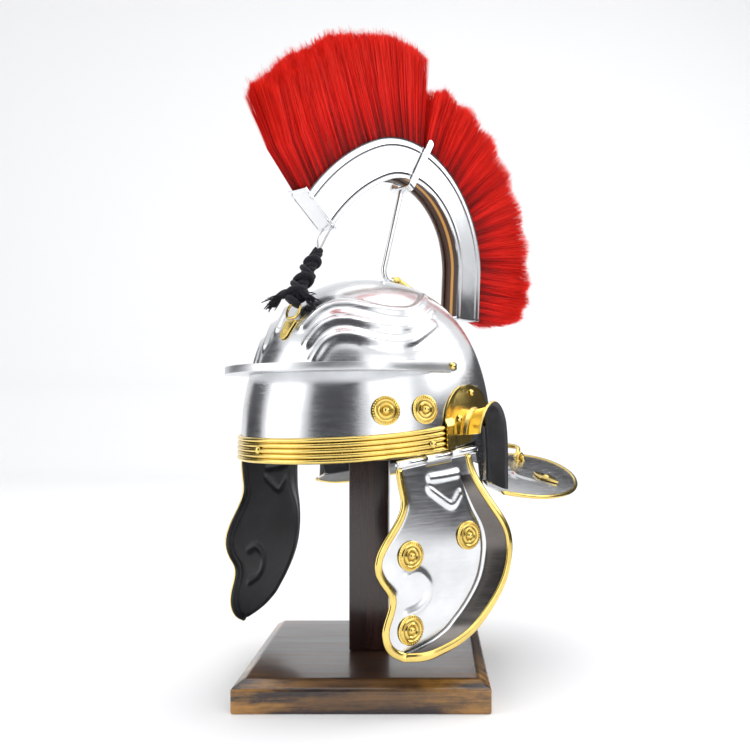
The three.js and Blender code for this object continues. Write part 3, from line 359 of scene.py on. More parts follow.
    @staticmethod
    def tube(
        name: str,
        path: Grid,
        radius: float,
        cyclic: bool = False,
        taper: Optional[Spot] = None,
        sides: int = 4,
    ) -> Piece:
        """Draws a round bar along a path.

        Args:
            name: the piece's name.
            path: the bar's middle line in millimetres.
            radius: the bar's radius in millimetres.
            cyclic: whether the bar closes on itself.
            taper: the share of the radius at each point of the path.
            sides: the bevel resolution, where four gives twelve sides.

        Returns:
            The bar as a mesh.
        """
        curve = bpy.data.curves.new(name, "CURVE")
        curve.dimensions = "3D"
        curve.bevel_depth = radius * MM
        curve.bevel_resolution = sides
        curve.use_fill_caps = True
        spline = curve.splines.new("POLY")
        spline.points.add(len(path) - 1)
        shares = taper if taper is not None else [1.0] * len(path)
        for point, place, share in zip(spline.points, path, shares):
            point.co = (*(Vector(place) * MM), 1)
            point.radius = share
        spline.use_cyclic_u = cyclic
        piece = Bench.hold(name, curve)
        Bench.pick(piece)
        bpy.ops.object.convert(target="MESH")
        piece = Bench.take(name)
        Bench.shade(piece, 60)
        return piece

    @staticmethod
    def rounded_bar(name: str, path: Grid, radius: float, sides: int = 4) -> Piece:
        """Draws a bar whose two ends are rounded off, with the sizes of tube.

        Args:
            name: the piece's name.
            path: the bar's middle line.
            radius: its radius.
            sides: its bevel resolution.

        Returns:
            The bar.
        """
        taper = np.ones(len(path))
        lengths = runs(path)
        for run in (lengths, lengths[-1] - lengths):
            share = np.clip(run / radius, 0, 1)
            taper = np.minimum(taper, np.sqrt(np.clip(1 - (1 - share) ** 2, 0.02, 1)))
        return Bench.tube(name, path, radius, taper=list(taper), sides=sides)

    @staticmethod
    def spun(name: str, profile: Sequence[Pair], steps: int = 48) -> Piece:
        """Spins a profile round Z.

        Args:
            name: the piece's name.
            profile: pairs of radius and height in millimetres, in order.
            steps: how many steps make the turn.

        Returns:
            The spun piece, closed where the profile starts and ends on the axis.
        """
        mesh = bpy.data.meshes.new(name)
        verts = [(radius * MM, 0, height * MM) for radius, height in profile]
        mesh.from_pydata(verts, [(at, at + 1) for at in range(len(verts) - 1)], [])
        piece = Bench.hold(name, mesh)
        turn = partial(bpy.ops.mesh.spin, steps=steps, angle=2 * math.pi, center=(0, 0, 0), axis=(0, 0, 1))
        Bench.edit(piece, turn, Bench.weld, bpy.ops.mesh.normals_make_consistent)
        return piece

    @staticmethod
    def block(
        name: str, low: Spot, high: Spot, edge: float, segments: int = 2
    ) -> Piece:
        """Makes a block with rounded edges.

        Args:
            name: the piece's name.
            low: the lowest corner in millimetres.
            high: the highest corner in millimetres.
            edge: the rounding in millimetres.
            segments: how many faces make the rounding.

        Returns:
            The block.
        """
        Bench.clear()
        bpy.ops.mesh.primitive_cube_add(size=1)
        piece = Bench.take(name)
        low, high = np.array(low, float), np.array(high, float)
        Bench.move(piece, (Bench.points(piece) * MM + 0.5) * (high - low) + low)
        if edge > 0:
            Bench.soften(piece, edge, segments)
        return piece

    @staticmethod
    def swept(name: str, section: Sequence[Pair], steps: int, place: Callable) -> Piece:
        """Carries a closed flat section along steps and closes both ends.

        Args:
            name: the piece's name.
            section: the section's corners.
            steps: how many steps are made.
            place: gives points from the share along and the section's two coordinates.

        Returns:
            The closed piece with its faces outwards.
        """
        loop = np.array([*section, section[0]], float)

        def wrap(u: Grid, v: Grid) -> Grid:
            """Runs round the section at a share along."""
            corner = np.rint(v * (len(loop) - 1)).astype(int)
            return place(u, loop[corner, 0], loop[corner, 1])

        piece = Bench.sheet(name, steps, len(loop) - 1, wrap)
        Bench.edit(piece, Bench.cap, bpy.ops.mesh.normals_make_consistent)
        return piece

    @staticmethod
    def stand_up(piece: Piece, point: Spot, way: Spot) -> None:
        """Turns a piece whose axis is Z along a way and puts its origin at a point.

        Args:
            piece: the piece.
            point: the point in millimetres.
            way: the direction that its axis takes.
        """
        turn = Vector((0, 0, 1)).rotation_difference(Vector(way).normalized())
        place = Matrix.Translation(Vector(point) * MM) @ turn.to_matrix().to_4x4()
        piece.data.transform(place)

    @staticmethod
    def copy(piece: Piece, name: str) -> Piece:
        """Copies a piece with a mesh of its own.

        Args:
            piece: the piece that is copied.
            name: the copy's name.

        Returns:
            The copy.
        """
        twin = piece.copy()
        twin.data = piece.data.copy()
        twin.name = twin.data.name = name
        bpy.context.scene.collection.objects.link(twin)
        return twin

    @staticmethod
    def flip(piece: Piece) -> Piece:
        """Turns a piece into the other side's, with its faces still outwards.

        Args:
            piece: the piece.

        Returns:
            The same piece.
        """
        piece.data.transform(Matrix.Scale(-1, 4, (1, 0, 0)))
        piece.data.flip_normals()
        return piece

    @staticmethod
    def paint(piece: Piece, finish: "Finish") -> Piece:
        """Gives a part one finish before it is joined to parts with others.

        Args:
            piece: the piece.
            finish: the finish.

        Returns:
            The same piece.
        """
        piece.data.materials.clear()
        piece.data.materials.append(finish.material())
        return piece

    @staticmethod
    def line(piece: Piece, front: "Finish", back: "Finish", way: Spot) -> None:
        """Gives the faces that look along a way a second finish.

        Args:
            piece: the piece.
            front: the finish of the other faces.
            back: the finish of the faces that look along the way.
            way: the way.
        """
        Bench.paint(piece, front)
        piece.data.materials.append(back.material())
        for face in piece.data.polygons:
            face.material_index = int(face.normal.dot(Vector(way)) > 0.35)

    @staticmethod
    def join(name: str, pieces: Sequence[Piece]) -> Piece:
        """Joins pieces into one object.

        Args:
            name: the new name.
            pieces: the pieces.

        Returns:
            The joined piece.
        """
        Bench.clear()
        for piece in pieces:
            piece.select_set(True)
        bpy.context.view_layer.objects.active = pieces[0]
        if len(pieces) > 1:
            bpy.ops.object.join()
        return Bench.take(name)


@dataclass(frozen=True)
class Dressing:
    """How a finished piece is tied to its body, with the imported nodes that it stands for hidden."""

    slot: str
    nodes: Tuple[str, ...] = ()
    body: Body = Body.STAND

    def put_on(self, piece: Piece, *finishes: "Finish") -> None:
        """Gives a piece its materials and ties it to its body.

        Args:
            piece: the finished piece.
            finishes: the finish of each of its material slots.
        """
        slots = piece.data.materials
        while len(slots) > len(finishes):
            slots.pop()
        for index, finish in enumerate(finishes):
            if index < len(slots):
                slots[index] = finish.material()
            else:
                slots.append(finish.material())
        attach(piece, self.body.value)
        if self.nodes:
            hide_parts(*self.nodes)
        LOG.info("%s: %d faces", piece.name, len(piece.data.polygons))


class Board:
    """Lays the nodes of one material."""

    def __init__(self, name: str) -> None:
        """Starts a material with its shader alone.

        Args:
            name: the material's name.
        """
        self.material = bpy.data.materials.new(name)
        self.material.use_nodes = True
        self.tree = self.material.node_tree
        self.shader = self.tree.nodes["Principled BSDF"]
        self.place = self.node("ShaderNodeTexCoord", "Object", {})

    def node(self, kind: str, output: object, inputs: Dict[object, object], **settings: object) -> Socket:
        """Adds a node.

        Args:
            kind: the node's type.
            output: the name or number of the output that is read.
            inputs: what each input, by name or number, is fed with.
            settings: the node's properties.

        Returns:
            The output.
        """
        node = self.tree.nodes.new(kind)
        for key, value in settings.items():
            setattr(node, key, value)
        for key, value in inputs.items():
            self.feed(node.inputs[key], value)
        return node.outputs[output]

    def feed(self, socket: Socket, value: object) -> None:
        """Links a socket to another one, or sets it to a constant.

        Args:
            socket: the socket that is fed.
            value: the other socket or the constant.
        """
        if isinstance(value, bpy.types.NodeSocket):
            self.tree.links.new(value, socket)
        else:
            socket.default_value = value

    def set(self, **values: object) -> None:
        """Feeds the shader's own sockets, named with underscores for spaces."""
        for key, value in values.items():
            self.feed(self.shader.inputs[key.replace("_", " ")], value)

    def stretch(self, scale: Spot, turn: Spot = (0, 0, 0)) -> Socket:
        """Scales and turns the object's coordinates, with the turn in degrees."""
        inputs = {"Vector": self.place, "Scale": scale, "Rotation": [math.radians(angle) for angle in turn]}
        return self.node("ShaderNodeMapping", "Vector", inputs)

    def noise(self, vector: Socket, scale: float, detail: float = 3, roughness: float = 0.55) -> Socket:
        """Adds a noise pattern and returns its value."""
        inputs = {"Vector": vector, "Scale": scale, "Detail": detail, "Roughness": roughness}
        return self.node("ShaderNodeTexNoise", "Fac", inputs)

    def span(self, value: Socket, low: float, high: float, start: float = 0, end: float = 1) -> Socket:
        """Maps a value from low..high to start..end, clamped."""
        inputs = {"Value": value, "From Min": low, "From Max": high, "To Min": start, "To Max": end}
        return self.node("ShaderNodeMapRange", "Result", inputs)

    def tint(self, value: Socket, stops: Sequence[Tuple[float, Spot]]) -> Socket:
        """Colours a value.

        Args:
            value: the value.
            stops: pairs of place and colour.

        Returns:
            The colour.
        """
        colour = self.node("ShaderNodeValToRGB", "Color", {"Fac": value})
        elements = colour.node.color_ramp.elements
        while len(elements) < len(stops):
            elements.new(1.0)
        for element, (place, shade) in zip(elements, stops):
            element.position = place
            element.color = (*shade, 1)
        return colour

    def mix(self, share: object, first: object, second: object) -> Socket:
        """Mixes two colours by a share."""
        low, high = ((*colour, 1) if isinstance(colour, tuple) else colour for colour in (first, second))
        return self.node("ShaderNodeMix", 2, {0: share, 6: low, 7: high}, data_type="RGBA")

    def sum(self, operation: str, first: object, second: object) -> Socket:
        """Combines two values with a maths operation."""
        return self.node("ShaderNodeMath", 0, {0: first, 1: second}, operation=operation)

    def edge_wear(self, low: float, high: float) -> Socket:
        """Reads how strongly a surface bulges, from the pointiness of its points."""
        return self.span(self.node("ShaderNodeNewGeometry", "Pointiness", {}), low, high)

    def scaled(self, vector: Socket, scale: Spot) -> Socket:
        """Scales a vector along each axis."""
        return self.node("ShaderNodeVectorMath", 0, {0: vector, 1: scale}, operation="MULTIPLY")

    def axis(self, name: str, vector: Optional[Socket] = None) -> Socket:
        """Reads one coordinate of a vector, or of the object's own coordinates in metres."""
        return self.node("ShaderNodeSeparateXYZ", name, {0: vector or self.place})

    def bump(self, *layers: Tuple[Socket, float, float]) -> None:
        """Feeds the shader's normal.

        Args:
            layers: each layer's height, strength and depth in millimetres.
        """
        inputs: Dict[object, object] = {}
        for height, strength, depth in layers:
            inputs.update({"Height": height, "Strength": strength, "Distance": depth * MM})
            inputs["Normal"] = self.node("ShaderNodeBump", "Normal", inputs)
        self.set(Normal=inputs["Normal"])


@dataclass(frozen=True)
class Finish:
    """A named surface finish that makes its material once."""

    name: str

    def material(self) -> bpy.types.Material:
        """Returns the finish's material, painted the first time.

        Returns:
            The material.
        """
        label = f"{self.name}_finish"
        found = bpy.data.materials.get(label)
        if found:
            return found
        board = Board(label)
        self.paint(board)
        return board.material

    def paint(self, board: Board) -> None:
        """Lays the finish's nodes on its board."""
        raise NotImplementedError


@dataclass(frozen=True)
class PolishedSteel(Finish):
    """Bright sheet steel with a soft brushed grain and faint hammer marks."""

    colour: Triple = (0.80, 0.81, 0.825)
    gloss: Pair = (0.17, 0.30)
    grain: Triple = (6, 6, 90)
    dent: float = 0.25

    def paint(self, board: Board) -> None:
        """Lays a stretched grain, cloudy roughness and low dents.

        Args:
            board: the material's board.
        """
        grain = board.noise(board.stretch(self.grain), 9, 4, 0.6)
        cloud = board.noise(board.place, 34, 3)
        wave = board.noise(board.place, 16, 2)
        shade = tuple(part * 0.86 for part in self.colour)
        board.set(
            Base_Color=board.mix(board.span(cloud, 0.35, 0.7), self.colour, shade),
            Metallic=1.0,
            Roughness=board.span(board.sum("ADD", grain, cloud), 0.7, 1.35, *self.gloss),
        )
        board.bump((grain, 0.06, 0.05), (wave, self.dent, 0.8))


@dataclass(frozen=True)
class Brass(Finish):
    """Polished brass that darkens a little in its hollows."""

    colour: Triple = (0.88, 0.66, 0.20)
    tarnish: Triple = (0.20, 0.12, 0.015)
    gloss: Pair = (0.14, 0.28)

    def paint(self, board: Board) -> None:
        """Lays cloudy tarnish, darker hollows and fine wear.

        Args:
            board: the material's board.
        """
        cloud = board.noise(board.place, 60, 4, 0.6)
        fine = board.noise(board.place, 420, 3)
        hollow = board.edge_wear(0.495, 0.45)
        share = board.sum("MULTIPLY", board.span(cloud, 0.42, 0.72), 0.22)
        dark = board.sum("MAXIMUM", share, board.sum("MULTIPLY", hollow, 0.8))
        board.set(
            Base_Color=board.mix(dark, self.colour, self.tarnish),
            Metallic=1.0,
            Roughness=board.span(board.sum("ADD", cloud, fine), 0.75, 1.3, *self.gloss),
        )
        board.bump((cloud, 0.05, 0.25), (fine, 0.04, 0.03))


@dataclass(frozen=True)
class BlackPaint(Finish):
    """Black paint on the hidden faces of the metal, with a low sheen."""

    colour: Triple = (0.012, 0.012, 0.015)

    def paint(self, board: Board) -> None:
        """Lays a near-black coat with an uneven gloss.

        Args:
            board: the material's board.
        """
        cloud = board.noise(board.place, 45, 4)
        worn = tuple(part * 3.2 for part in self.colour)
        board.set(
            Base_Color=board.mix(board.span(cloud, 0.45, 0.8), self.colour, worn),
            Roughness=board.span(cloud, 0.3, 0.7, 0.34, 0.5),
            Specular_IOR_Level=0.5,
        )
        board.bump((board.noise(board.place, 260, 2), 0.1, 0.1))


@dataclass(frozen=True)
class StainedWood(Finish):
    """Dark stained wood whose grain runs along one direction, rubbed golden towards its corners."""

    dark: Triple = (0.012, 0.006, 0.006)
    warm: Triple = (0.050, 0.020, 0.012)
    worn: Triple = (0.42, 0.20, 0.035)
    along: Triple = (5, 90, 90)
    turn: float = -40
    half: float = 100
    low: float = 25
    wear: float = 1.0
    gloss: Pair = (0.30, 0.46)

    def paint(self, board: Board) -> None:
        """Lays long grain, pores and rubbed places under a thin varnish.

        Args:
            board: the material's board.
        """
        flat = board.stretch((1, 1, 1), (0, 0, self.turn))
        grain = board.noise(board.scaled(flat, self.along), 1.6, 7, 0.62)
        pores = board.noise(board.scaled(flat, tuple(part * 5 for part in self.along)), 2.2, 3, 0.7)
        patch = board.noise(board.scaled(flat, (14, 30, 30)), 1.0, 5, 0.65)
        body = board.mix(board.span(grain, 0.36, 0.68), self.dark, self.warm)
        sides = [board.sum("ABSOLUTE", board.axis(name, flat), 0.0) for name in "XY"]
        corner = board.sum("MULTIPLY", sides[0], sides[1])
        full = (self.half * MM) ** 2
        near = board.span(corner, full * 0.30, full * 0.95)
        face = board.span(board.axis("Z", flat), self.low * MM * 0.96, self.low * MM, 1.0, 0.28)
        mottle = board.span(board.sum("ADD", patch, board.sum("MULTIPLY", grain, 0.9)), 0.86, 1.16)
        reach = board.sum("ADD", near, 0.30)
        rubbed = board.sum("MULTIPLY", mottle, reach)
        share = board.sum("MULTIPLY", rubbed, board.sum("MULTIPLY", face, self.wear))
        streak = board.sum("MULTIPLY", board.span(pores, 0.56, 0.74), 0.22 * self.wear)
        base = board.mix(board.sum("MINIMUM", board.sum("MAXIMUM", share, streak), 0.9), body, self.worn)
        board.set(
            Base_Color=base,
            Roughness=board.span(grain, 0.3, 0.7, *self.gloss),
            Coat_Weight=0.6,
            Coat_Roughness=0.16,
        )
        board.bump((grain, 0.35, 0.5), (pores, 0.25, 0.2))


@dataclass(frozen=True)
class DyedBristle(Finish):
    """Red dyed bristle that reads each hair's own shade attribute, darker at the roots as painted shade and
    brighter at the tips as painted light.
    """

    # The root colour is painted shade and the tip colour painted light; body is the bristle's own red.
    root: Triple = (0.14, 0.001, 0.001)
    body: Triple = (0.72, 0.006, 0.002)
    tip: Triple = (0.98, 0.022, 0.008)

    def paint(self, board: Board) -> None:
        """Lays each hair's colour from the points' own shade attribute, which carries painted shade at the
        roots and painted light at the tips.

        Args:
            board: the material's board.
        """
        shade = board.node("ShaderNodeAttribute", "Fac", {}, attribute_name="shade")
        streak = board.noise(board.place, 900, 2)
        value = board.sum("ADD", shade, board.span(streak, 0.3, 0.7, -0.08, 0.08))
        board.set(
            Base_Color=board.tint(value, [(0.0, self.root), (0.45, self.body), (1.0, self.tip)]),
            Roughness=0.5,
            Specular_IOR_Level=0.18,
        )


@dataclass(frozen=True)
class BlackCord(Finish):
    """Black braided cord."""

    colour: Triple = (0.004, 0.004, 0.006)

    def paint(self, board: Board) -> None:
        """Lays a fine braid on the cord.

        Args:
            board: the material's board.
        """
        braid = board.noise(board.stretch((1, 1, 0.5)), 1500, 2)
        light = tuple(part * 4 for part in self.colour)
        board.set(
            Base_Color=board.mix(board.span(braid, 0.4, 0.7), self.colour, light),
            Roughness=0.72,
            Sheen_Weight=0.08,
            Specular_IOR_Level=0.25,
            Sheen_Roughness=0.5,
        )
        board.bump((braid, 0.5, 0.3))


@dataclass(frozen=True)
class CoreWood(Finish):
    """Brown wood inside the crest box, with a pale line along its middle."""

    colour: Triple = (0.085, 0.026, 0.010)
    line: Triple = (0.62, 0.30, 0.055)
    line_half_width: float = 1.6

    def paint(self, board: Board) -> None:
        """Lays grain and the middle line.

        Args:
            board: the material's board.
        """
        grain = board.noise(board.stretch((30, 4, 4)), 12, 5, 0.6)
        middle = board.sum("ABSOLUTE", board.axis("X"), 0.0)
        edge = self.line_half_width * MM
        share = board.span(middle, edge * 1.25, edge * 0.8)
        dark = tuple(part * 0.45 for part in self.colour)
        body = board.mix(board.span(grain, 0.35, 0.65), dark, self.colour)
        board.set(
            Base_Color=board.mix(share, body, self.line),
            Roughness=board.span(grain, 0.3, 0.7, 0.35, 0.55),
        )
        board.bump((grain, 0.3, 0.4))


@dataclass(frozen=True)
class PaleFloor(Finish):
    """Plain pale floor."""

    colour: Triple = (0.92, 0.92, 0.92)

    def paint(self, board: Board) -> None:
        """Lays an even matt white.

        Args:
            board: the material's board.
        """
        tone = board.noise(board.place, 1.5, 2)
        near = tuple(part * 0.985 for part in self.colour)
        board.set(Base_Color=board.mix(tone, self.colour, near), Roughness=0.75)


STEEL = PolishedSteel("polished_steel")
CHEEK_STEEL = PolishedSteel("brushed_cheek_steel", gloss=(0.15, 0.26), grain=(5, 5, 60), dent=0.10)
GUARD_STEEL = PolishedSteel("brow_guard_steel", gloss=(0.3, 0.42), dent=0.1)
# Painted dark reflection: the cheek pieces' flared rear margins get a dark steel colour that stands in for
# the dark surroundings they reflect; they are the same steel as the plate.
FLANGE_PAINTED_REFLECTION_STEEL = PolishedSteel("darkened_steel", colour=(0.17, 0.155, 0.145), gloss=(0.18, 0.3))
CREST_STEEL = PolishedSteel("crest_steel", gloss=(0.12, 0.22), grain=(40, 4, 4), dent=0.1)
BRASS = Brass("polished_brass")
BLACK = BlackPaint("black_paint")
BASE_WOOD = StainedWood("base_wood")
POST_WOOD = StainedWood(
    "post_wood", along=(90, 90, 5), wear=0.12, warm=(0.035, 0.010, 0.008), low=400, gloss=(0.2, 0.32)
)
CORE_WOOD = CoreWood("core_wood")
BRISTLE = DyedBristle("dyed_bristle")
CORD = BlackCord("black_cord")
FLOOR = PaleFloor("pale_floor")


@dataclass
class BowlForm:
    """The curved surface that the steel and its fittings follow."""

    half_length: float = 117
    half_width: float = 101
    height: float = 152
    height_power: float = 2.4
    round_power: float = 2.3
    wall: float = 1.5
    dip: float = 3
    rise: float = 17
    rise_power: float = 2.5
    ear_angle: float = 102
    nape_angle: float = 108
    guard_half_width: float = 129
    guard_widest: float = 95
    guard_reach: float = 120
    guard_front: float = 55
    guard_tuck: float = 17
    guard_power: float = 2.2
    guard_round: float = 0.75
    guard_drop: float = 8
    guard_arch: float = 27

    def draw_in(self, height: Grid) -> Grid:
        """Gives the share of the bowl's size that is left at a height over the rim."""
        share = np.clip(np.asarray(height, float) / self.height, 0, 1)
        return np.clip(1 - share**self.height_power, 0, 1) ** (1 / self.round_power)

    def on(self, angle: Grid, height: Grid, out: Grid = 0.0) -> Grid:
        """Gives points on the bowl.

        Args:
            angle: degrees from the front, towards the wearer's left.
            height: height over the rim plane.
            out: how far outside the steel.

        Returns:
            The points.
        """
        share = self.draw_in(height)
        turn = np.radians(angle)
        x = (self.half_width * share + out) * np.sin(turn)
        y = -(self.half_length * share + out) * np.cos(turn)
        return stack(x, y, np.asarray(height, float) + RIM)

    def normal(self, angle: Grid, height: Grid) -> Grid:
        """Gives the outward directions at places on the bowl.

        Args:
            angle: degrees from the front.
            height: height over the rim plane.

        Returns:
            The unit directions.
        """
        steps = ((0.5, 0.0), (0.0, 0.3))
        side, up = (self.on(angle + a, height + b) - self.on(angle - a, height - b) for a, b in steps)
        return unit(np.cross(side, up))

    def rim(self, angle: Grid) -> Grid:
        """Gives the height of the front rim at an angle."""
        share = np.minimum(np.abs(angle), self.ear_angle) / self.ear_angle
        return self.rise * share**self.rise_power - self.dip

    def guard_height(self, x: Grid) -> Grid:
        """Gives the height of the neck guard's top at a place across."""
        return -self.guard_drop - self.guard_arch * (np.asarray(x, float) / self.guard_half_width) ** 2

    def crown(self, y: Grid) -> Grid:
        """Gives the height of the crown along the middle line."""
        share = np.abs(y) / self.half_length
        return self.height * (1 - share**self.round_power) ** (1 / self.height_power)

    def guard_edge(self, share: Grid) -> Grid:
        """Gives the neck guard's outer edge.

        Args:
            share: -1 at the right corner and 1 at the left one.

        Returns:
            X and Y, as rows.
        """
        reach = np.abs(share)
        turn = np.clip(reach / self.guard_round, 0, 1) * math.pi / 2
        past = np.clip((reach - self.guard_round) / (1 - self.guard_round), 0, 1)
        power = 2 / self.guard_power
        x = self.guard_half_width * np.sin(turn) ** power - self.guard_tuck * past**2
        y = self.guard_widest + self.guard_reach * np.clip(np.cos(turn), 0, 1) ** power
        return np.stack([np.sign(share) * x, y - self.guard_front * past], axis=-1)

    def low_edge(self, angle: Grid) -> Grid:
        """Gives the height of the bowl's whole lower edge at an angle from 0 to 360.

        Args:
            angle: degrees from the front, from 0 to 360.

        Returns:
            The height over the rim plane.
        """
        bent = np.where(angle > 180, 360 - angle, angle)
        drop = smoothstep(bent, self.ear_angle, self.nape_angle)
        nape = self.guard_height(self.half_width * np.sin(np.radians(bent))) - self.wall / 2
        return lerp(self.rim(bent), nape, drop)


FORM = BowlForm()


@dataclass
class Stand:
    """The wooden base and post."""

    side: float = 200
    height: float = 25
    chamfer: Pair = (9.5, 6)
    turn: float = 40
    post: float = 34

    def build_base(self) -> None:
        """Makes the base: a block whose top is drawn in to the chamfer, with softened edges."""
        half = self.side / 2
        base = Bench.block("wooden_base", (-half, -half, 0), (half, half, self.height), 0)
        inset, drop = self.chamfer
        cut = (self.height - drop) * MM
        Bench.edit(base, partial(bpy.ops.mesh.bisect, plane_co=(0, 0, cut), plane_no=(0, 0, 1)))
        points = Bench.points(base)
        top = points[:, 2] > self.height - 0.1
        points[top, :2] *= (half - inset) / half
        Bench.move(base, points)
        Bench.soften(base, 1.6, 3, 20)
        Bench.edit(base, partial(bpy.ops.mesh.subdivide, number_cuts=5))
        base.data.transform(Matrix.Rotation(math.radians(self.turn), 4, "Z"))
        Bench.shade(base, 25)
        Dressing("base_wood", ("stand_base",)).put_on(base, BASE_WOOD)

    def build_post(self) -> None:
        """Makes the square post that carries the bowl from inside."""
        half = self.post / 2
        _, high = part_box("stand_post")
        top = high.z / MM
        post = Bench.block("wooden_post", (-half, -half, self.height + FIT), (half, half, top), 1.4, 3)
        post.data.transform(Matrix.Rotation(math.radians(self.turn), 4, "Z"))
        Bench.shade(post, 25)
        Dressing("post_wood", ("stand_post",)).put_on(post, POST_WOOD)

    def build(self) -> None:
        """Makes the whole stand."""
        self.build_base()
        self.build_post()


@dataclass
class SteelBowl:
    """The bowl with its raised eyebrows, and the neck guard in one with it."""

    columns: int = 340
    rows: int = 100
    brow_rows: Tuple[Triple, ...] = ((11, 100, 124), (17, 91, 110), (22, 86, 97))
    wave: Tuple[Pair, ...] = (
        (0.0, 20), (0.05, 9), (0.13, 2), (0.24, 0), (0.4, 3), (0.58, 6), (0.72, 4), (0.86, -4), (1.0, -12),
    )
    ridge_height: float = 2.2
    ridge_half_width: float = 6.0
    brow_reach: float = 112
    brow_field: Pair = (70, 143)
    hollow_gap: float = 8.0
    hollow_width: float = 2.6
    hollow_depth: float = 0.25
    nape_ribs: Tuple[float, ...] = (12, 22)
    rib_span: float = 52
    rib_height: float = 1.7
    nape_scale: float = 110
    ring_centre: Pair = (84, 118)
    ring_radius: float = 17
    ring_height: float = 1.3
    bend_height: float = 3.2
    bend_reach: float = 5

    def brow_path(self, row: Triple) -> Grid:
        """Gives the middle line of one raised eyebrow on the wearer's left."""
        share = np.linspace(0, 1, 60)
        return FORM.on(lerp(row[0], row[1], share), row[2] - read_table(self.wave, 1, share))

    def place(self, u: Grid, v: Grid) -> Grid:
        """Places the outer skin, with the eyebrows raised from it.

        Args:
            u: the share across.
            v: the share along.

        Returns:
            The points.
        """
        angle = u * 360
        low = FORM.low_edge(angle)
        height = low + (FORM.height - low) * np.sin(v * math.pi / 2)
        points = FORM.on(angle, height)
        bent = np.where(angle > 180, 360 - angle, angle)
        folded = np.column_stack([np.abs(points[:, 0]), points[:, 1:]])
        low, high = self.brow_field
        near = np.where((bent < self.brow_reach) & (height > low) & (height < high))[0]
        lift = np.zeros(len(points))
        for row in self.brow_rows:
            gap = reach_to(folded[near], self.brow_path(row))
            ridge = self.ridge_height * (1 - smoothstep(gap, 0.6, self.ridge_half_width))
            lift[near] = np.maximum(lift[near], ridge)
            hollow = np.exp(-(((gap - self.hollow_gap) / self.hollow_width) ** 2)) * self.hollow_depth
            lift[near] = np.where(lift[near] > 0.05, lift[near], -hollow)
        normal = FORM.normal(angle, np.clip(height, -30, FORM.height - 1))
        normal[height > FORM.height - 1] = (0, 0, 1)
        return points + normal * lift[:, None]

    def build_skin(self) -> None:
        """Makes the outer skin, with the eyebrows raised from it."""
        skin = Bench.sheet("bowl_skin", self.columns, self.rows, self.place)
        Bench.shade(skin, 60)
        Dressing("steel", ("bowl",)).put_on(skin, STEEL)

    def build_lining(self) -> None:
        """Makes the inside of the bowl, which is painted black, and the cut edge of the rim."""

        def inner(u: Grid, v: Grid) -> Grid:
            """Places the lining, with its first row on the rim's outer edge."""
            angle = u * 360
            low = FORM.low_edge(angle)
            depth = np.clip(v * 1.05 - 0.05, 0, 1)
            height = low + (FORM.height - FORM.wall - low) * np.sin(depth * math.pi / 2)
            inset = np.where(v < 0.02, 0.0, FORM.wall)
            share = FORM.draw_in(np.where(v < 0.02, height, height * FORM.height / (FORM.height - FORM.wall)))
            turn = np.radians(angle)
            x = (FORM.half_width - inset) * share * np.sin(turn)
            y = -(FORM.half_length - inset) * share * np.cos(turn)
            return stack(x, y, height + RIM)

        lining = Bench.sheet("bowl_lining", 144, 42, inner)
        Bench.edit(lining, bpy.ops.mesh.flip_normals)
        Bench.shade(lining, 50)
        Dressing("steel").put_on(lining, BLACK)

    def guard_place(self, u: Grid, v: Grid) -> Grid:
        """Places the neck guard's top, with a soft bend at the bowl and low ribs round the nape.

        Args:
            u: the share across.
            v: the share along.

        Returns:
            The points.
        """
        share = u * 2 - 1
        turn = np.radians(180 - (180 - FORM.nape_angle) * np.abs(share))
        side = np.where(share < 0, -1.0, 1.0)
        inset = FORM.wall / 2
        across, along = (FORM.half_width - inset) * np.sin(turn), (FORM.half_length - inset) * np.cos(turn)
        inner = np.stack([side * across, -along], axis=-1)
        outer = FORM.guard_edge(share)
        outer[:, 0] = side * np.abs(outer[:, 0])
        flat = inner + (outer - inner) * (v**0.85)[:, None]
        height = FORM.guard_height(flat[:, 0])
        wide, deep = flat[:, 0] / FORM.half_width, flat[:, 1] / FORM.half_length
        gap = (np.sqrt(wide**2 + deep**2) - 1) * self.nape_scale
        fade = 1 - smoothstep(np.degrees(np.arctan2(np.abs(wide), deep)), self.rib_span - 10, self.rib_span)
        for offset in self.nape_ribs:
            height += self.rib_height * fade * np.exp(-(((gap - offset) / 2.6) ** 2))
        arc = np.stack([np.abs(flat[:, 0]), flat[:, 1]], axis=-1) - np.array(self.ring_centre)
        ring = np.linalg.norm(arc, axis=1) - self.ring_radius
        half_turn = smoothstep(-arc[:, 1] - arc[:, 0] * 0.3, -4, 10)
        height += self.ring_height * np.exp(-((ring / 2.2) ** 2)) * half_turn
        height += self.bend_height * np.clip(1 - gap / self.bend_reach, 0, 1) ** 2
        return stack(flat[:, 0], flat[:, 1], height + RIM)

    def build_guard(self) -> None:
        """Makes the neck guard, steel above and black below."""
        guard = Bench.sheet("neck_guard", 160, 48, self.guard_place, (0, 140, 0))
        Bench.wall(guard, FORM.wall, STEEL, BLACK)
        Bench.shade(guard, 50)
        Dressing("steel").put_on(guard, STEEL, BLACK)

    def build(self) -> None:
        """Makes the bowl's skin, lining and neck guard."""
        self.build_skin()
        self.build_lining()
        self.build_guard()


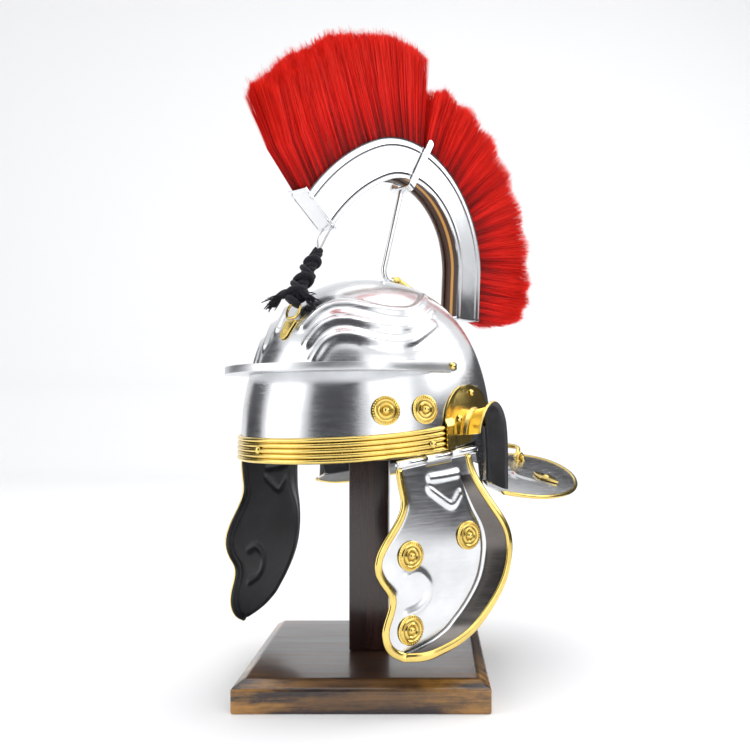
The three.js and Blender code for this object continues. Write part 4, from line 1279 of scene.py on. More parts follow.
@dataclass
class BrowTrim:
    """The ribbed brass band round the rim and the steel guard across the brow."""

    band_height: float = 20
    band_wall: float = 1.2
    rib: float = 1.5
    ribs: int = 5
    band_end: float = 83.6
    guard_height: float = 68
    guard_rise: float = 3
    reach: float = 20
    wall: float = 1.6
    lip: float = 6
    tab: float = 9
    guard_end: float = 91

    def build_band(self) -> None:
        """Makes the band as a sheet with rounded ribs, closed over its edges."""

        def place(u: Grid, v: Grid) -> Grid:
            """Places the ribs one over the other, with both edges folded to the steel."""
            angle = lerp(-self.band_end, self.band_end, u)
            rise = np.clip((v - 0.06) / 0.88, 0, 1)
            wave = np.abs(np.sin(rise * self.ribs * math.pi)) ** 0.8
            hem = np.minimum(smoothstep(v, 0, 0.06), 1 - smoothstep(v, 0.94, 1))
            out = FIT + hem * (self.band_wall + self.rib * wave)
            return FORM.on(angle, FORM.rim(angle) + rise * self.band_height, out)

        band = Bench.sheet("brass_band", 160, 56, place)
        Bench.shade(band, 75)
        Dressing("brass", ("brow_band",)).put_on(band, BRASS)

    def build_guard(self) -> None:
        """Makes the brow guard: a flat wall with an upturned lip that closes to a tab at both ends."""
        section = [(0, 0), (2, 0), (2, 2), (1, 2), (1, 1), (0, 1)]

        def place(u: Grid, across: Grid, level: Grid) -> Grid:
            """Places the section's corners, whose numbers pick a distance out and a height."""
            angle = lerp(-self.guard_end, self.guard_end, u)
            fade = 1 - smoothstep(np.abs(angle), 45, self.guard_end - 9)
            reach = lerp(self.wall * 1.5, self.reach, fade)
            lip = lerp(self.tab, self.lip, fade)
            ends = 1 - 0.45 * smoothstep(np.abs(angle), self.guard_end - 3.2, self.guard_end) ** 2
            floor = self.guard_height + self.guard_rise * smoothstep(np.abs(angle), 30, self.guard_end)
            floor = floor - (lip - self.lip) / 2 + lip * (1 - ends) / 2
            out = np.choose(across.astype(int), [np.zeros_like(reach), reach - self.wall, reach])
            inner_top = lerp(lip - self.wall / 2, np.full_like(lip, self.wall), fade)
            up = np.choose(level.astype(int), [np.zeros_like(lip), inner_top, lip]) * ends
            points = FORM.on(angle, floor, FIT + out)
            points[:, 2] = floor + up + RIM
            return points

        guard = Bench.swept("brow_peak", section, 200, place)
        Bench.soften(guard, 0.55, 2, 50)
        Bench.shade(guard, 45)
        Dressing("steel", ("brow_guard",)).put_on(guard, GUARD_STEEL)

    def build(self) -> None:
        """Makes the band and the guard."""
        self.build_band()
        self.build_guard()


@dataclass
class EarGuard:
    """The brass plate beside the ear and the hood that stands out over it."""

    front: float = 80.5
    rear: float = 116
    low: float = 25
    band_reach: float = 20
    band_depth: float = 2.9
    high: float = 60
    wall: float = 1.2
    reach: float = 20
    angles: Pair = (15, 192)
    centre: Pair = (22, 12)
    half_width: float = 19
    rise: float = 27
    flare: float = 5
    rear_drop: float = 34

    def plate_point(self, u: Grid, v: Grid) -> Grid:
        """Places the oval plate on the bowl, with its front foot over the end of the band.

        Args:
            u: the share across.
            v: the share along.

        Returns:
            The points.
        """
        middle = (self.front + self.rear) / 2
        narrow = np.clip((v - 0.3) / 0.7, 0, 1)
        half = (self.rear - self.front) / 2 * np.sqrt(np.clip(1 - narrow**2.2, 0.0, 1))
        angle = middle + half * (u * 2 - 1)
        low = lerp(FORM.rim(angle) + 1, self.low, smoothstep(angle, 96, 101))
        height = lerp(low, self.high, v)
        over = 1 - smoothstep(angle, 84.4, 87)
        top = FORM.rim(angle) + self.band_reach
        over = over * (1 - smoothstep(height, top, top + 4))
        rim = 0.5 * np.clip(1 - np.minimum(np.minimum(u, 1 - u) * 14, (1 - v) * 9), 0, 1)
        return FORM.on(angle, height, FIT + self.wall + rim + over * self.band_depth)

    def hood_point(self, u: Grid, v: Grid) -> Grid:
        """Places the hood, from the bowl out to its flared lip.

        Args:
            u: the share across.
            v: the share along.

        Returns:
            The points.
        """
        turn = np.radians(lerp(self.angles[0], self.angles[1], u))
        grow = self.flare * v + 1.6 * np.clip((v - 0.86) / 0.14, 0, 1) ** 2
        drop = self.rear_drop * np.clip((u - 0.75) / 0.25, 0, 1) ** 1.5
        y = self.centre[0] - (self.half_width + grow) * np.cos(turn)
        arch = self.centre[1] + (self.rise + grow) * np.sin(turn) - drop
        round_share = np.sqrt(1 - (y / FORM.half_length) ** 2)
        wall = FORM.half_width * FORM.draw_in(np.maximum(0, arch)) * round_share
        fillet = 2.5 * np.clip(1 - v / 0.16, 0, 1) ** 2
        x = wall + FIT + self.wall + self.reach * v**0.8
        lift = np.maximum(arch + fillet * np.sin(turn), FORM.guard_height(x) + FIT + self.wall)
        return stack(x, y - fillet * np.cos(turn), lift + RIM)

    def build(self, side: Side) -> None:
        """Makes one side's ear guard, brass outside and black inside.

        Args:
            side: the wearer's side.
        """
        plate = Bench.sheet("ear_plate", 40, 24, self.plate_point)
        Bench.wall(plate, self.wall, BRASS)
        hood = Bench.sheet("ear_hood", 72, 18, self.hood_point, (130, 22, RIM - 40))
        Bench.wall(hood, self.wall, BRASS, BLACK)
        lip = Bench.tube("ear_lip", self.hood_point(np.linspace(0, 1, 90), np.full(90, 0.985)), 1.0)
        Bench.paint(lip, BRASS)
        guard = Bench.join(f"ear_hood_{side.word}", [hood, plate, lip])
        if side is Side.RIGHT:
            Bench.flip(guard)
        Bench.shade(guard, 40)
        Dressing("brass", (f"ear_guard_{side.word}",)).put_on(guard, BRASS, BLACK)


@dataclass
class RoundFittings:
    """The rosettes, rivets and lozenges, each modelled once and copied to its places."""

    profile: Tuple[Pair, ...] = (
        (0, 4.3), (1.0, 4.2), (2.0, 3.7), (2.7, 2.8), (3.0, 1.9), (3.6, 1.5), (4.2, 1.6), (4.7, 2.3),
        (5.4, 2.7), (6.1, 2.3), (6.6, 1.5), (7.2, 1.3), (7.8, 1.5), (8.3, 2.1), (8.9, 2.2), (9.4, 1.6),
        (9.8, 1.1), (11.5, 1.0), (12.0, 0.7), (12.0, 0.0), (0, 0),
    )
    bead_ring: float = 10.7
    bead_count: int = 32
    bead_radius: float = 0.85
    rosette_scale: float = 0.95
    rivet_profile: Tuple[Pair, ...] = ((0, 1.9), (1.2, 1.75), (2.2, 1.2), (2.8, 0.4), (3.0, 0), (0, 0))
    bowl_places: Tuple[Pair, ...] = ((54.5, 38), (71.5, 39))
    rivets: Tuple[Tuple[str, float, float, float], ...] = (
        ("band_rivet", 74, 12, 3), ("guard_rivet", 87, 74, 5),
        ("ear_rivet_1", 99, 53, 1.9), ("ear_rivet_2", 89, 32, 1.9),
    )
    front_rivet: Pair = (-3.0, 7.5)
    lozenge_place: Pair = (100, 130)
    lozenge_size: Pair = (14, 10)

    def __post_init__(self) -> None:
        """Models the rosette and the rivet that the others are copied from."""
        parts = [Bench.spun("rosette", self.profile, 44)]
        Bench.clear()
        bpy.ops.mesh.primitive_uv_sphere_add(segments=7, ring_count=4, radius=self.bead_radius * MM)
        bead = Bench.take("rosette_bead")
        for index in range(self.bead_count):
            turn = index / self.bead_count * 2 * math.pi
            twin = Bench.copy(bead, f"rosette_bead_{index}")
            place = Vector((math.cos(turn) * self.bead_ring, math.sin(turn) * self.bead_ring, 1.0)) * MM
            twin.data.transform(Matrix.Translation(place))
            parts.append(twin)
        bpy.data.objects.remove(bead)
        self.rosette = Bench.join("rosette", parts)
        self.rosette.data.transform(Matrix.Scale(self.rosette_scale, 4))
        Bench.shade(self.rosette, 50)
        self.rivet = Bench.spun("rivet", self.rivet_profile, 24)
        Bench.shade(self.rivet, 50)

    def seat(self, model: Piece, node: str, point: Grid, way: Grid, body: Body) -> None:
        """Copies a model to a place on a surface.

        Args:
            model: the rosette or the rivet.
            node: the CAD node that the copy stands for.
            point: the place in millimetres.
            way: the surface's direction there.
            body: the body that it rides on.
        """
        piece = Bench.copy(model, f"{node}_brass")
        Bench.stand_up(piece, point + unit(way) * FIT, way)
        Dressing("brass", (node,), body).put_on(piece, BRASS)

    def build(self) -> None:
        """Seats the bowl's rosettes and rivets and makes both lozenges."""
        front = Bench.copy(self.rivet, "front_band_rivet")
        Bench.stand_up(front, FORM.on(*self.front_rivet, 3), FORM.normal(*self.front_rivet))
        Dressing("brass").put_on(front, BRASS)
        seats = [(self.rivet, *rivet) for rivet in self.rivets]
        for index, spot in enumerate(self.bowl_places):
            seats.insert(index, (self.rosette, f"bowl_rosette_{index + 1}", *spot, 0))
        for side in Side:
            flip = np.array([side.value, 1, 1], float)
            for model, node, angle, height, out in seats:
                point, way = FORM.on(angle, height, out) * flip, FORM.normal(angle, height) * flip
                self.seat(model, f"{node}_{side.word}", point, way, Body.STAND)
            self.build_lozenge(side)

    def build_lozenge(self, side: Side) -> None:
        """Makes one lozenge: a four-pointed plate with a rivet in its middle.

        Args:
            side: the wearer's side.
        """
        x, y = self.lozenge_place
        turn = np.linspace(0, 2 * math.pi, 32, endpoint=False)
        long, short = self.lozenge_size
        cos, sin = np.cos(turn), np.sin(turn)
        section = list(zip(long * cos * np.abs(cos) ** 0.6, short * sin * np.abs(sin) ** 0.6))
        plate = Bench.swept("lozenge_plate", section, 1, lambda u, a, b: stack(a, b, u * 1.4))
        Bench.soften(plate, 0.3, 2, 60)
        rivet = Bench.copy(self.rivet, "lozenge_rivet")
        rivet.data.transform(Matrix.Translation((0, 0, 1.3 * MM)))
        piece = Bench.join(f"neck_lozenge_{side.word}_brass", [plate, rivet])
        slope = math.atan(2 * FORM.guard_arch * x / FORM.guard_half_width**2)
        piece.data.transform(Matrix.Rotation(slope, 4, "Y"))
        lift = float(FORM.guard_height(x)) + 2 * FIT + RIM
        piece.data.transform(Matrix.Translation(Vector((x, y, lift)) * MM))
        if side is Side.RIGHT:
            Bench.flip(piece)
        Bench.shade(piece, 40)
        Dressing("brass", (f"neck_lozenge_{side.word}",)).put_on(piece, BRASS)

    def clear_models(self) -> None:
        """Removes the models once every copy is made."""
        for model in (self.rosette, self.rivet):
            bpy.data.objects.remove(model)


@dataclass
class CheekPiece:
    """One hinged cheek piece: embossed steel plate, rolled brass edge, hinge and rosettes."""

    side: Side
    hinge_front: Triple = (92, -66, -3.2)
    hinge_rear: Triple = (106, 13, 7.4)
    height: float = 147
    width: float = 128
    bulge: Pair = (2, 8)
    flange: float = 13
    flange_from: float = 0.75
    flare: float = 12
    edge_radius: float = 1.9
    edge_half_width: float = 3.4
    edge_shift: float = 1.9
    relief: float = 1.15
    wall: float = 1.5
    knuckle_radius: float = 3.2
    pin_radius: float = 1.2
    leaf: float = 17
    knuckles: Tuple[float, ...] = (0, 0.345, 0.665, 1)
    rosettes: Tuple[Pair, ...] = ((-56, 71), (-2, 64), (-56, 128))
    rows: Tuple[Triple, ...] = (
        (0.04, -0.504, 0.035), (0.12, -0.492, 0.047), (0.21, -0.469, 0.086), (0.3, -0.516, 0.133),
        (0.4, -0.609, 0.195), (0.49, -0.664, 0.219), (0.58, -0.633, 0.211), (0.67, -0.555, 0.18),
        (0.76, -0.57, 0.11), (0.85, -0.613, 0.008), (0.92, -0.6, -0.1), (0.975, -0.55, -0.27),
        (1.0, -0.48, -0.41),
    )
    bar_path: Tuple[Pair, ...] = ((-36, -14.5), (-22, -13.5), (-9, -12))
    chevron: Tuple[Pair, ...] = ((-37, -23), (-27, -30), (-18, -35.5), (-15, -35), (-8, -27))
    crescent: Tuple[Pair, ...] = (
        (-59, -87), (-50, -85), (-42, -91), (-39, -98), (-41, -107), (-48, -113), (-59, -116),
    )

    @property
    def body(self) -> Body:
        """The body that the cheek piece moves with."""
        return Body.CHEEK_LEFT if self.side is Side.LEFT else Body.CHEEK_RIGHT

    def on_hinge(self, share: Grid) -> Grid:
        """Gives points along the hinge's axis."""
        front, rear = np.array(self.hinge_front), np.array(self.hinge_rear)
        return front + np.asarray(share)[..., None] * (rear - front) + np.array([0, 0, RIM])

    def surface(self, y: Grid, depth: Grid, flare: Grid = 0.0) -> Grid:
        """Gives the plate's outer face at a place along Y and a share of its depth.

        Args:
            y: the places along Y.
            depth: the shares of the depth.
            flare: how far the plate flares there.

        Returns:
            The points.
        """
        share = (y - self.hinge_front[1]) / (self.hinge_rear[1] - self.hinge_front[1])
        swell = 1 - (1 - np.minimum(1, depth * 2)) ** 2
        bulge = swell * lerp(self.bulge[0], self.bulge[1], share)
        hang = lerp(self.hinge_front[2], self.hinge_rear[2], share) * (1 - depth)
        x = lerp(self.hinge_front[0], self.hinge_rear[0], share) + bulge + flare
        return stack(x, y, hang - depth * self.height + RIM)

    def at(self, y: Grid, depth: Grid) -> Grid:
        """Gives the plate's outer face with its flared rear margin and its raised pattern.

        Args:
            y: the places along Y.
            depth: the shares of the depth.

        Returns:
            The points.
        """
        rear = read_table(self.rows, 2, depth) * self.width
        front = read_table(self.rows, 1, depth) * self.width
        inside = rear - y
        flange = np.clip(1 - inside / self.flange, 0, 1)
        flare = self.flare * flange**1.15 * smoothstep(depth, 0.05, 0.5)
        points = self.surface(y, depth, flare)
        flat = np.column_stack([y, points[:, 2] - RIM])
        lift = np.zeros(len(flat))
        for line, half in ((self.bar_path, 4.8), (self.chevron, 4.4), (self.crescent, 5.2)):
            gap = reach_to(flat, smooth_path(line, 24))
            lift += self.relief * (1 - smoothstep(gap, 0.1, half))
        step = np.exp(-(((inside - self.flange - 1.5) / 1.8) ** 2)) * smoothstep(depth, 0.12, 0.4)
        rim = np.clip(1 - (y - front) / 6, 0, 1) ** 2 * 1.4
        points[:, 0] += lift - 0.9 * step + rim
        return points

    def place(self, u: Grid, v: Grid) -> Grid:
        """Places the plate from its front edge to its rear edge and from top to bottom.

        Args:
            u: the share across.
            v: the share along.

        Returns:
            The points.
        """
        depth = lerp(self.rows[0][0], 1.0, 1 - (1 - v) ** 1.5)
        front = read_table(self.rows, 1, depth) * self.width
        rear = read_table(self.rows, 2, depth) * self.width
        step = rear - self.flange
        y = np.where(
            u < self.flange_from,
            lerp(front, step, u / self.flange_from),
            lerp(step, rear, (u - self.flange_from) / (1 - self.flange_from)),
        )
        return self.at(y, depth)

    def hand(self, piece: Piece) -> Piece:
        """Turns a left piece into this side's piece."""
        return Bench.flip(piece) if self.side is Side.RIGHT else piece

    def build_plate(self) -> None:
        """Makes the plate, steel outside with a painted dark reflection on its flared rear margin and black
        inside, with the straps that carry its knuckles.
        """
        plate = Bench.sheet("cheek_sheet", 76, 104, self.place, (0, -20, RIM - 70))
        Bench.wall(plate, self.wall, CHEEK_STEEL, BLACK)
        self.paint_flange_reflection(plate)
        parts = [plate]
        for index in (0, 2):
            parts += [Bench.paint(part, CHEEK_STEEL) for part in (self.knuckle(index), self.strap(index))]
        piece = self.hand(Bench.join(f"cheek_plate_{self.side.word}", parts))
        Bench.shade(piece, 50)
        dressing = Dressing("steel", (f"cheek_{self.side.word}",), self.body)
        # The third finish is the painted dark reflection on the flared rear margin.
        dressing.put_on(piece, CHEEK_STEEL, BLACK, FLANGE_PAINTED_REFLECTION_STEEL)

    def paint_flange_reflection(self, plate: Piece) -> None:
        """Gives the outer faces of the flared rear margin a painted dark reflection: a darker steel colour,
        though the margin is the same steel as the plate.

        Args:
            plate: the plate with its wall.
        """
        plate.data.materials.append(FLANGE_PAINTED_REFLECTION_STEEL.material())
        for face in plate.data.polygons:
            _, y, z = face.center / MM
            share = (y - self.hinge_front[1]) / (self.hinge_rear[1] - self.hinge_front[1])
            hang = lerp(self.hinge_front[2], self.hinge_rear[2], share)
            depth = (hang - z + RIM) / (hang + self.height)
            inside = float(read_table(self.rows, 2, depth)) * self.width - y
            # Outer faces of the margin take the painted dark reflection.
            if inside < self.flange - 0.5 and depth > 0.12 and face.material_index == 0:
                face.material_index = 2

    def knuckle(self, index: int) -> Piece:
        """Makes one hinge knuckle with softened ends, on its share of the axis.

        Args:
            index: the knuckle's number from the front.

        Returns:
            The knuckle.
        """
        start = self.on_hinge(np.array(self.knuckles[index] + 0.003))
        end = self.on_hinge(np.array(self.knuckles[index + 1] - 0.003))
        length = float(np.linalg.norm(end - start))
        r = self.knuckle_radius
        profile = [(0, 0), (r - 0.4, 0), (r, 0.4), (r, length - 0.4), (r - 0.4, length), (0, length)]
        knuckle = Bench.spun(f"knuckle_{index}", profile, 28)
        Bench.stand_up(knuckle, start, end - start)
        return knuckle

    def strap(self, index: int) -> Piece:
        """Makes the strap from a knuckle down into the plate.

        Args:
            index: the number of its knuckle.

        Returns:
            The strap.
        """
        low, high = self.knuckles[index], self.knuckles[index + 1]

        def place(u: Grid, v: Grid) -> Grid:
            """Places the strap, from half round the knuckle down to the plate."""
            start = self.on_hinge(lerp(max(low, 0.03) + 0.004, high - 0.004, u))
            turn = lerp(-0.2, 1.35, np.clip(v / 0.55, 0, 1))
            ring = stack(np.cos(turn), 0 * turn, -np.sin(turn))
            around = start + ring * (self.knuckle_radius - 0.1)
            plate = self.surface(start[:, 1], np.full(len(u), 0.066)) + np.array([0.1, 0, 0])
            share = smoothstep(v, 0.45, 1.0)[:, None]
            return around + (plate - around) * share

        strap = Bench.sheet(f"strap_{index}", 24, 18, place, (0, -20, RIM))
        Bench.wall(strap, 0.9)
        return strap

    def edge_path(self) -> Grid:
        """Gives the middle line of the brass edge, down the front, round the point and up the rear.

        Returns:
            The points.
        """
        down = np.linspace(0.005, 1, 90)
        across = np.linspace(0, 1, 10)[1:-1]
        u = np.concatenate([np.zeros(90), across, np.ones(90)])
        v = np.concatenate([down, np.ones(len(across)), down[::-1]])
        path = self.place(u, v)
        tips = [path[at] + unit(path[at] - path[at + step]) * 4.5 for at, step in ((0, 1), (-1, -1))]
        path = np.vstack([tips[0], path, tips[1]])
        run = runs(path)
        even = np.linspace(0, run[-1], 240)
        path = np.stack([np.interp(even, run, path[:, axis]) for axis in range(3)], axis=-1)
        for _ in range(22):
            path[1:-1] = path[1:-1] * 0.5 + (path[:-2] + path[2:]) * 0.25
        _, inward = self.edge_ways(path)
        return path - inward * self.edge_shift

    @staticmethod
    def edge_ways(path: Grid) -> Tuple[Grid, Grid]:
        """Gives the ways away from the head and in towards the plate, along the edge's path.

        Args:
            path: the edge's middle line.

        Returns:
            Both ways at each point.
        """
        ahead = unit(np.gradient(path, axis=0))
        out = unit(np.array([1.0, 0, 0]) - ahead * ahead[:, :1])
        inward = np.cross(out, ahead)
        inward *= np.sign(np.sum(inward * (path.mean(axis=0) - path), axis=1).sum())
        return out, inward

    def build_edge(self) -> None:
        """Makes the brass edge: a rounded channel folded over the plate's margin."""
        path = self.edge_path()
        out, inward = self.edge_ways(path)
        lengths = runs(path)
        run = np.minimum(lengths, lengths[-1] - lengths)
        ends = np.sqrt(np.clip(1 - (1 - np.clip(run / 2.4, 0, 1)) ** 2, 0.03, 1))
        turn = np.linspace(0, 2 * math.pi, 18, endpoint=False)
        section = list(zip(np.sign(np.cos(turn)) * np.abs(np.cos(turn)) ** 0.75, np.sin(turn)))

        def place(u: Grid, x: Grid, y: Grid) -> Grid:
            """Places the section's corners square to the path, drawn in at both ends."""
            index = np.rint(u * (len(path) - 1)).astype(int)
            across = inward[index] * ((x + 0.42) * self.edge_half_width)[:, None]
            level = out[index] * (y * self.edge_radius - 0.55)[:, None]
            return path[index] + (across + level) * ends[index][:, None]

        edge = Bench.swept(f"cheek_rim_{self.side.word}", section, len(path) - 1, place)
        Bench.line(edge, BRASS, BLACK, (-1, 0, 0))
        edge = self.hand(edge)
        Bench.shade(edge, 60)
        Dressing("brass", (f"cheek_edge_{self.side.word}",), self.body).put_on(edge, BRASS, BLACK)

    def build_hinge(self) -> None:
        """Makes the fixed leaf with the middle knuckle, and the pin."""
        low, high = self.knuckles[1], self.knuckles[2]

        def place(u: Grid, v: Grid) -> Grid:
            """Places the leaf, from its knuckle up inside the bowl's wall."""
            start = self.on_hinge(lerp(low + 0.01, high - 0.01, u))
            height = start[:, 2] - RIM + self.leaf * v**1.7
            turn = np.arccos(np.clip(-start[:, 1] / (FORM.half_length - FORM.wall), -1, 1))
            wall = (FORM.half_width - FORM.wall) * FORM.draw_in(height) * np.sin(turn) - 2 * FIT
            x = lerp(start[:, 0] - 1, wall, smoothstep(v, 0, 0.3))
            return stack(x, start[:, 1], height + RIM)

        leaf = Bench.sheet("hinge_sheet", 16, 24, place, (0, -20, RIM))
        Bench.wall(leaf, 1.4)
        piece = self.hand(Bench.join(f"hinge_leaf_{self.side.word}_steel", [self.knuckle(1), leaf]))
        Bench.shade(piece, 45)
        Dressing("steel", (f"hinge_leaf_{self.side.word}",)).put_on(piece, CHEEK_STEEL)
        ends = self.on_hinge(np.array([-0.014, 1.014]))
        pin = self.hand(Bench.tube(f"hinge_pin_{self.side.word}_steel", ends, self.pin_radius))
        Dressing("steel", (f"hinge_pin_{self.side.word}",)).put_on(pin, CHEEK_STEEL)

    def build_rosettes(self, fittings: RoundFittings) -> None:
        """Seats the three rosettes on the plate.

        Args:
            fittings: the models of the rosettes.
        """
        flip = np.array([self.side.value, 1, 1], float)
        for index, (y, drop) in enumerate(self.rosettes):
            share = drop / self.height
            spots = [(0, 0), (1, 0), (-1, 0), (0, 1), (0, -1)]
            at = [self.surface(np.array(y + a), np.array(share + b / self.height)) for a, b in spots]
            way = unit(np.cross(at[1] - at[2], at[3] - at[4]))
            way = way if way[0] > 0 else -way
            node = f"cheek_rosette_{index + 1}_{self.side.word}"
            fittings.seat(fittings.rosette, node, (at[0] + way * FIT) * flip, way * flip, self.body)

    def build(self, fittings: RoundFittings) -> None:
        """Makes the whole cheek piece.

        Args:
            fittings: the models of the rosettes.
        """
        self.build_plate()
        self.build_edge()
        self.build_hinge()
        self.build_rosettes(fittings)


@dataclass
class NeckFittings:
    """The brass edge of the neck guard, and the carrying handle in its staples."""

    edge_radius: float = 1.9
    half_width: float = 46
    back: float = 168
    reach: float = 19
    lift: float = 11
    radius: float = 2.2
    staple_radius: float = 1.6
    bore: float = 2.8

    @property
    def axis_height(self) -> float:
        """The height of the handle's axis."""
        return float(FORM.guard_height(self.half_width)) + self.bore + FIT

    def build_edge(self) -> None:
        """Makes the rolled edge round the guard."""
        share = np.linspace(-1, 1, 220)
        flat = FORM.guard_edge(share)
        ahead = np.gradient(flat, axis=0)
        away = unit(np.stack([-ahead[:, 1], ahead[:, 0]], axis=-1))
        away *= np.sign(np.sum(away * (flat - np.array([0, FORM.guard_widest])), axis=1, keepdims=True))
        flat = flat + away * (self.edge_radius * 0.6)
        path = stack(flat[:, 0], flat[:, 1], FORM.guard_height(flat[:, 0]) - FORM.wall / 2 + RIM)
        edge = Bench.rounded_bar("neck_rim", path, self.edge_radius, 3)
        Dressing("brass", ("neck_edge",)).put_on(edge, BRASS)

    def build_handle(self) -> None:
        """Makes the handle: a bar with turned-in ends and a straight grip."""
        w, y, z = self.half_width, self.back, self.axis_height + RIM
        bends = ((0.82, 0.45, 0.5), (0.7, 0.8, 0.85), (0.35, 1, 1))
        half = [(-w - 5, y, z), (-w, y, z), (-w + 5, y, z)]
        half += [(-w * a, y + self.reach * b, z + self.lift * c) for a, b, c in bends]
        path = smooth_path(half + [(-a, b, c) for a, b, c in reversed(half)], 120)
        swell = 1 + 0.3 * np.exp(-((path[:, 0] / 22) ** 2))
        taper = swell * np.sqrt(np.clip((w + 5.4 - np.abs(path[:, 0])) / 2, 0.05, 1))
        handle = Bench.tube("handle_bar", path, self.radius, taper=list(taper), sides=4)
        Dressing("brass", ("neck_handle",), Body.HANDLE).put_on(handle, BRASS)

    def build_staple(self, side: Side) -> None:
        """Makes one staple with its two small feet.

        Args:
            side: the wearer's side.
        """
        ring = self.bore + self.staple_radius
        turn = np.linspace(0, math.pi, 28)
        z = self.axis_height + RIM
        foot = float(FORM.guard_height(self.half_width)) + FIT + RIM
        y = np.concatenate([[self.back - ring], self.back - np.cos(turn) * ring, [self.back + ring]])
        up = np.concatenate([[foot], z + np.sin(turn) * ring, [foot]])
        path = stack(np.full(len(y), side.value * self.half_width), y, up)
        parts = [Bench.tube("staple", path, self.staple_radius, sides=3)]
        for step in (-1, 1):
            washer = Bench.spun("washer", [(0, 0.9), (2.6, 0.8), (3.0, 0.4), (3.0, 0), (0, 0)], 24)
            slope = 2 * FORM.guard_arch * self.half_width / FORM.guard_half_width**2 * side.value
            spot = (side.value * self.half_width, self.back + step * ring, foot - 0.1)
            Bench.stand_up(washer, spot, (slope, 0, 1))
            parts.append(washer)
        staple = Bench.join(f"neck_staple_{side.word}_brass", parts)
        Bench.shade(staple, 50)
        Dressing("brass", (f"neck_staple_{side.word}",)).put_on(staple, BRASS)

    def build(self) -> None:
        """Makes the edge, the handle and both staples."""
        self.build_edge()
        self.build_handle()
        for side in Side:
            self.build_staple(side)


@dataclass
class CrestForm:
    """The crest's middle line: a wide arc, a tight arc and a straight rear end."""

    centre: Pair = (42, 178)
    radius: float = 89.5
    rear_length: float = 50
    top_angle: float = 115
    front_radius: float = 200
    front_angle: float = 142
    depth: float = 35.5
    width: float = 20
    wall: float = 1.2
    nose: float = 4
    recess: float = 4

    @property
    def front_sweep(self) -> float:
        """The length of the wide arc."""
        return math.radians(self.front_angle - self.top_angle) * self.front_radius

    @property
    def rear_sweep(self) -> float:
        """The length of the tight arc."""
        return math.radians(self.top_angle) * self.radius

    @property
    def length(self) -> float:
        """The length of the whole middle line."""
        return self.front_sweep + self.rear_sweep + self.rear_length

    def frame(self, share: Grid) -> Tuple[Grid, Grid]:
        """Gives points on the middle line and the ways out from it.

        Args:
            share: 0 at the front end and 1 at the rear end.

        Returns:
            The points and the unit ways out.
        """
        run = np.asarray(share, float) * self.length
        top = math.radians(self.top_angle)
        wide = run < self.front_sweep
        front_turn = math.radians(self.front_angle) - run / self.front_radius
        rear_turn = np.maximum(0, top - (run - self.front_sweep) / self.radius)
        turn = np.where(wide, front_turn, rear_turn)
        shift = np.where(wide, self.front_radius - self.radius, 0)
        radius = np.where(wide, self.front_radius, self.radius)
        past = np.maximum(0, run - self.front_sweep - self.rear_sweep)
        y = self.centre[0] - shift * math.cos(top) + radius * np.cos(turn) - past * 0.06
        z = self.centre[1] - shift * math.sin(top) + radius * np.sin(turn) - past
        return stack(0 * y, y, z + RIM), stack(0 * y, np.cos(turn), np.sin(turn))

    def on(self, share: Grid, x: Grid, up: Grid) -> Grid:
        """Gives points beside and above the middle line.

        Args:
            share: 0 at the front end and 1 at the rear end.
            x: the places across.
            up: the heights over the line.

        Returns:
            The points.
        """
        point, out = self.frame(share)
        points = point + out * np.asarray(up, float)[..., None]
        points[..., 0] = x
        return points


CREST = CrestForm()


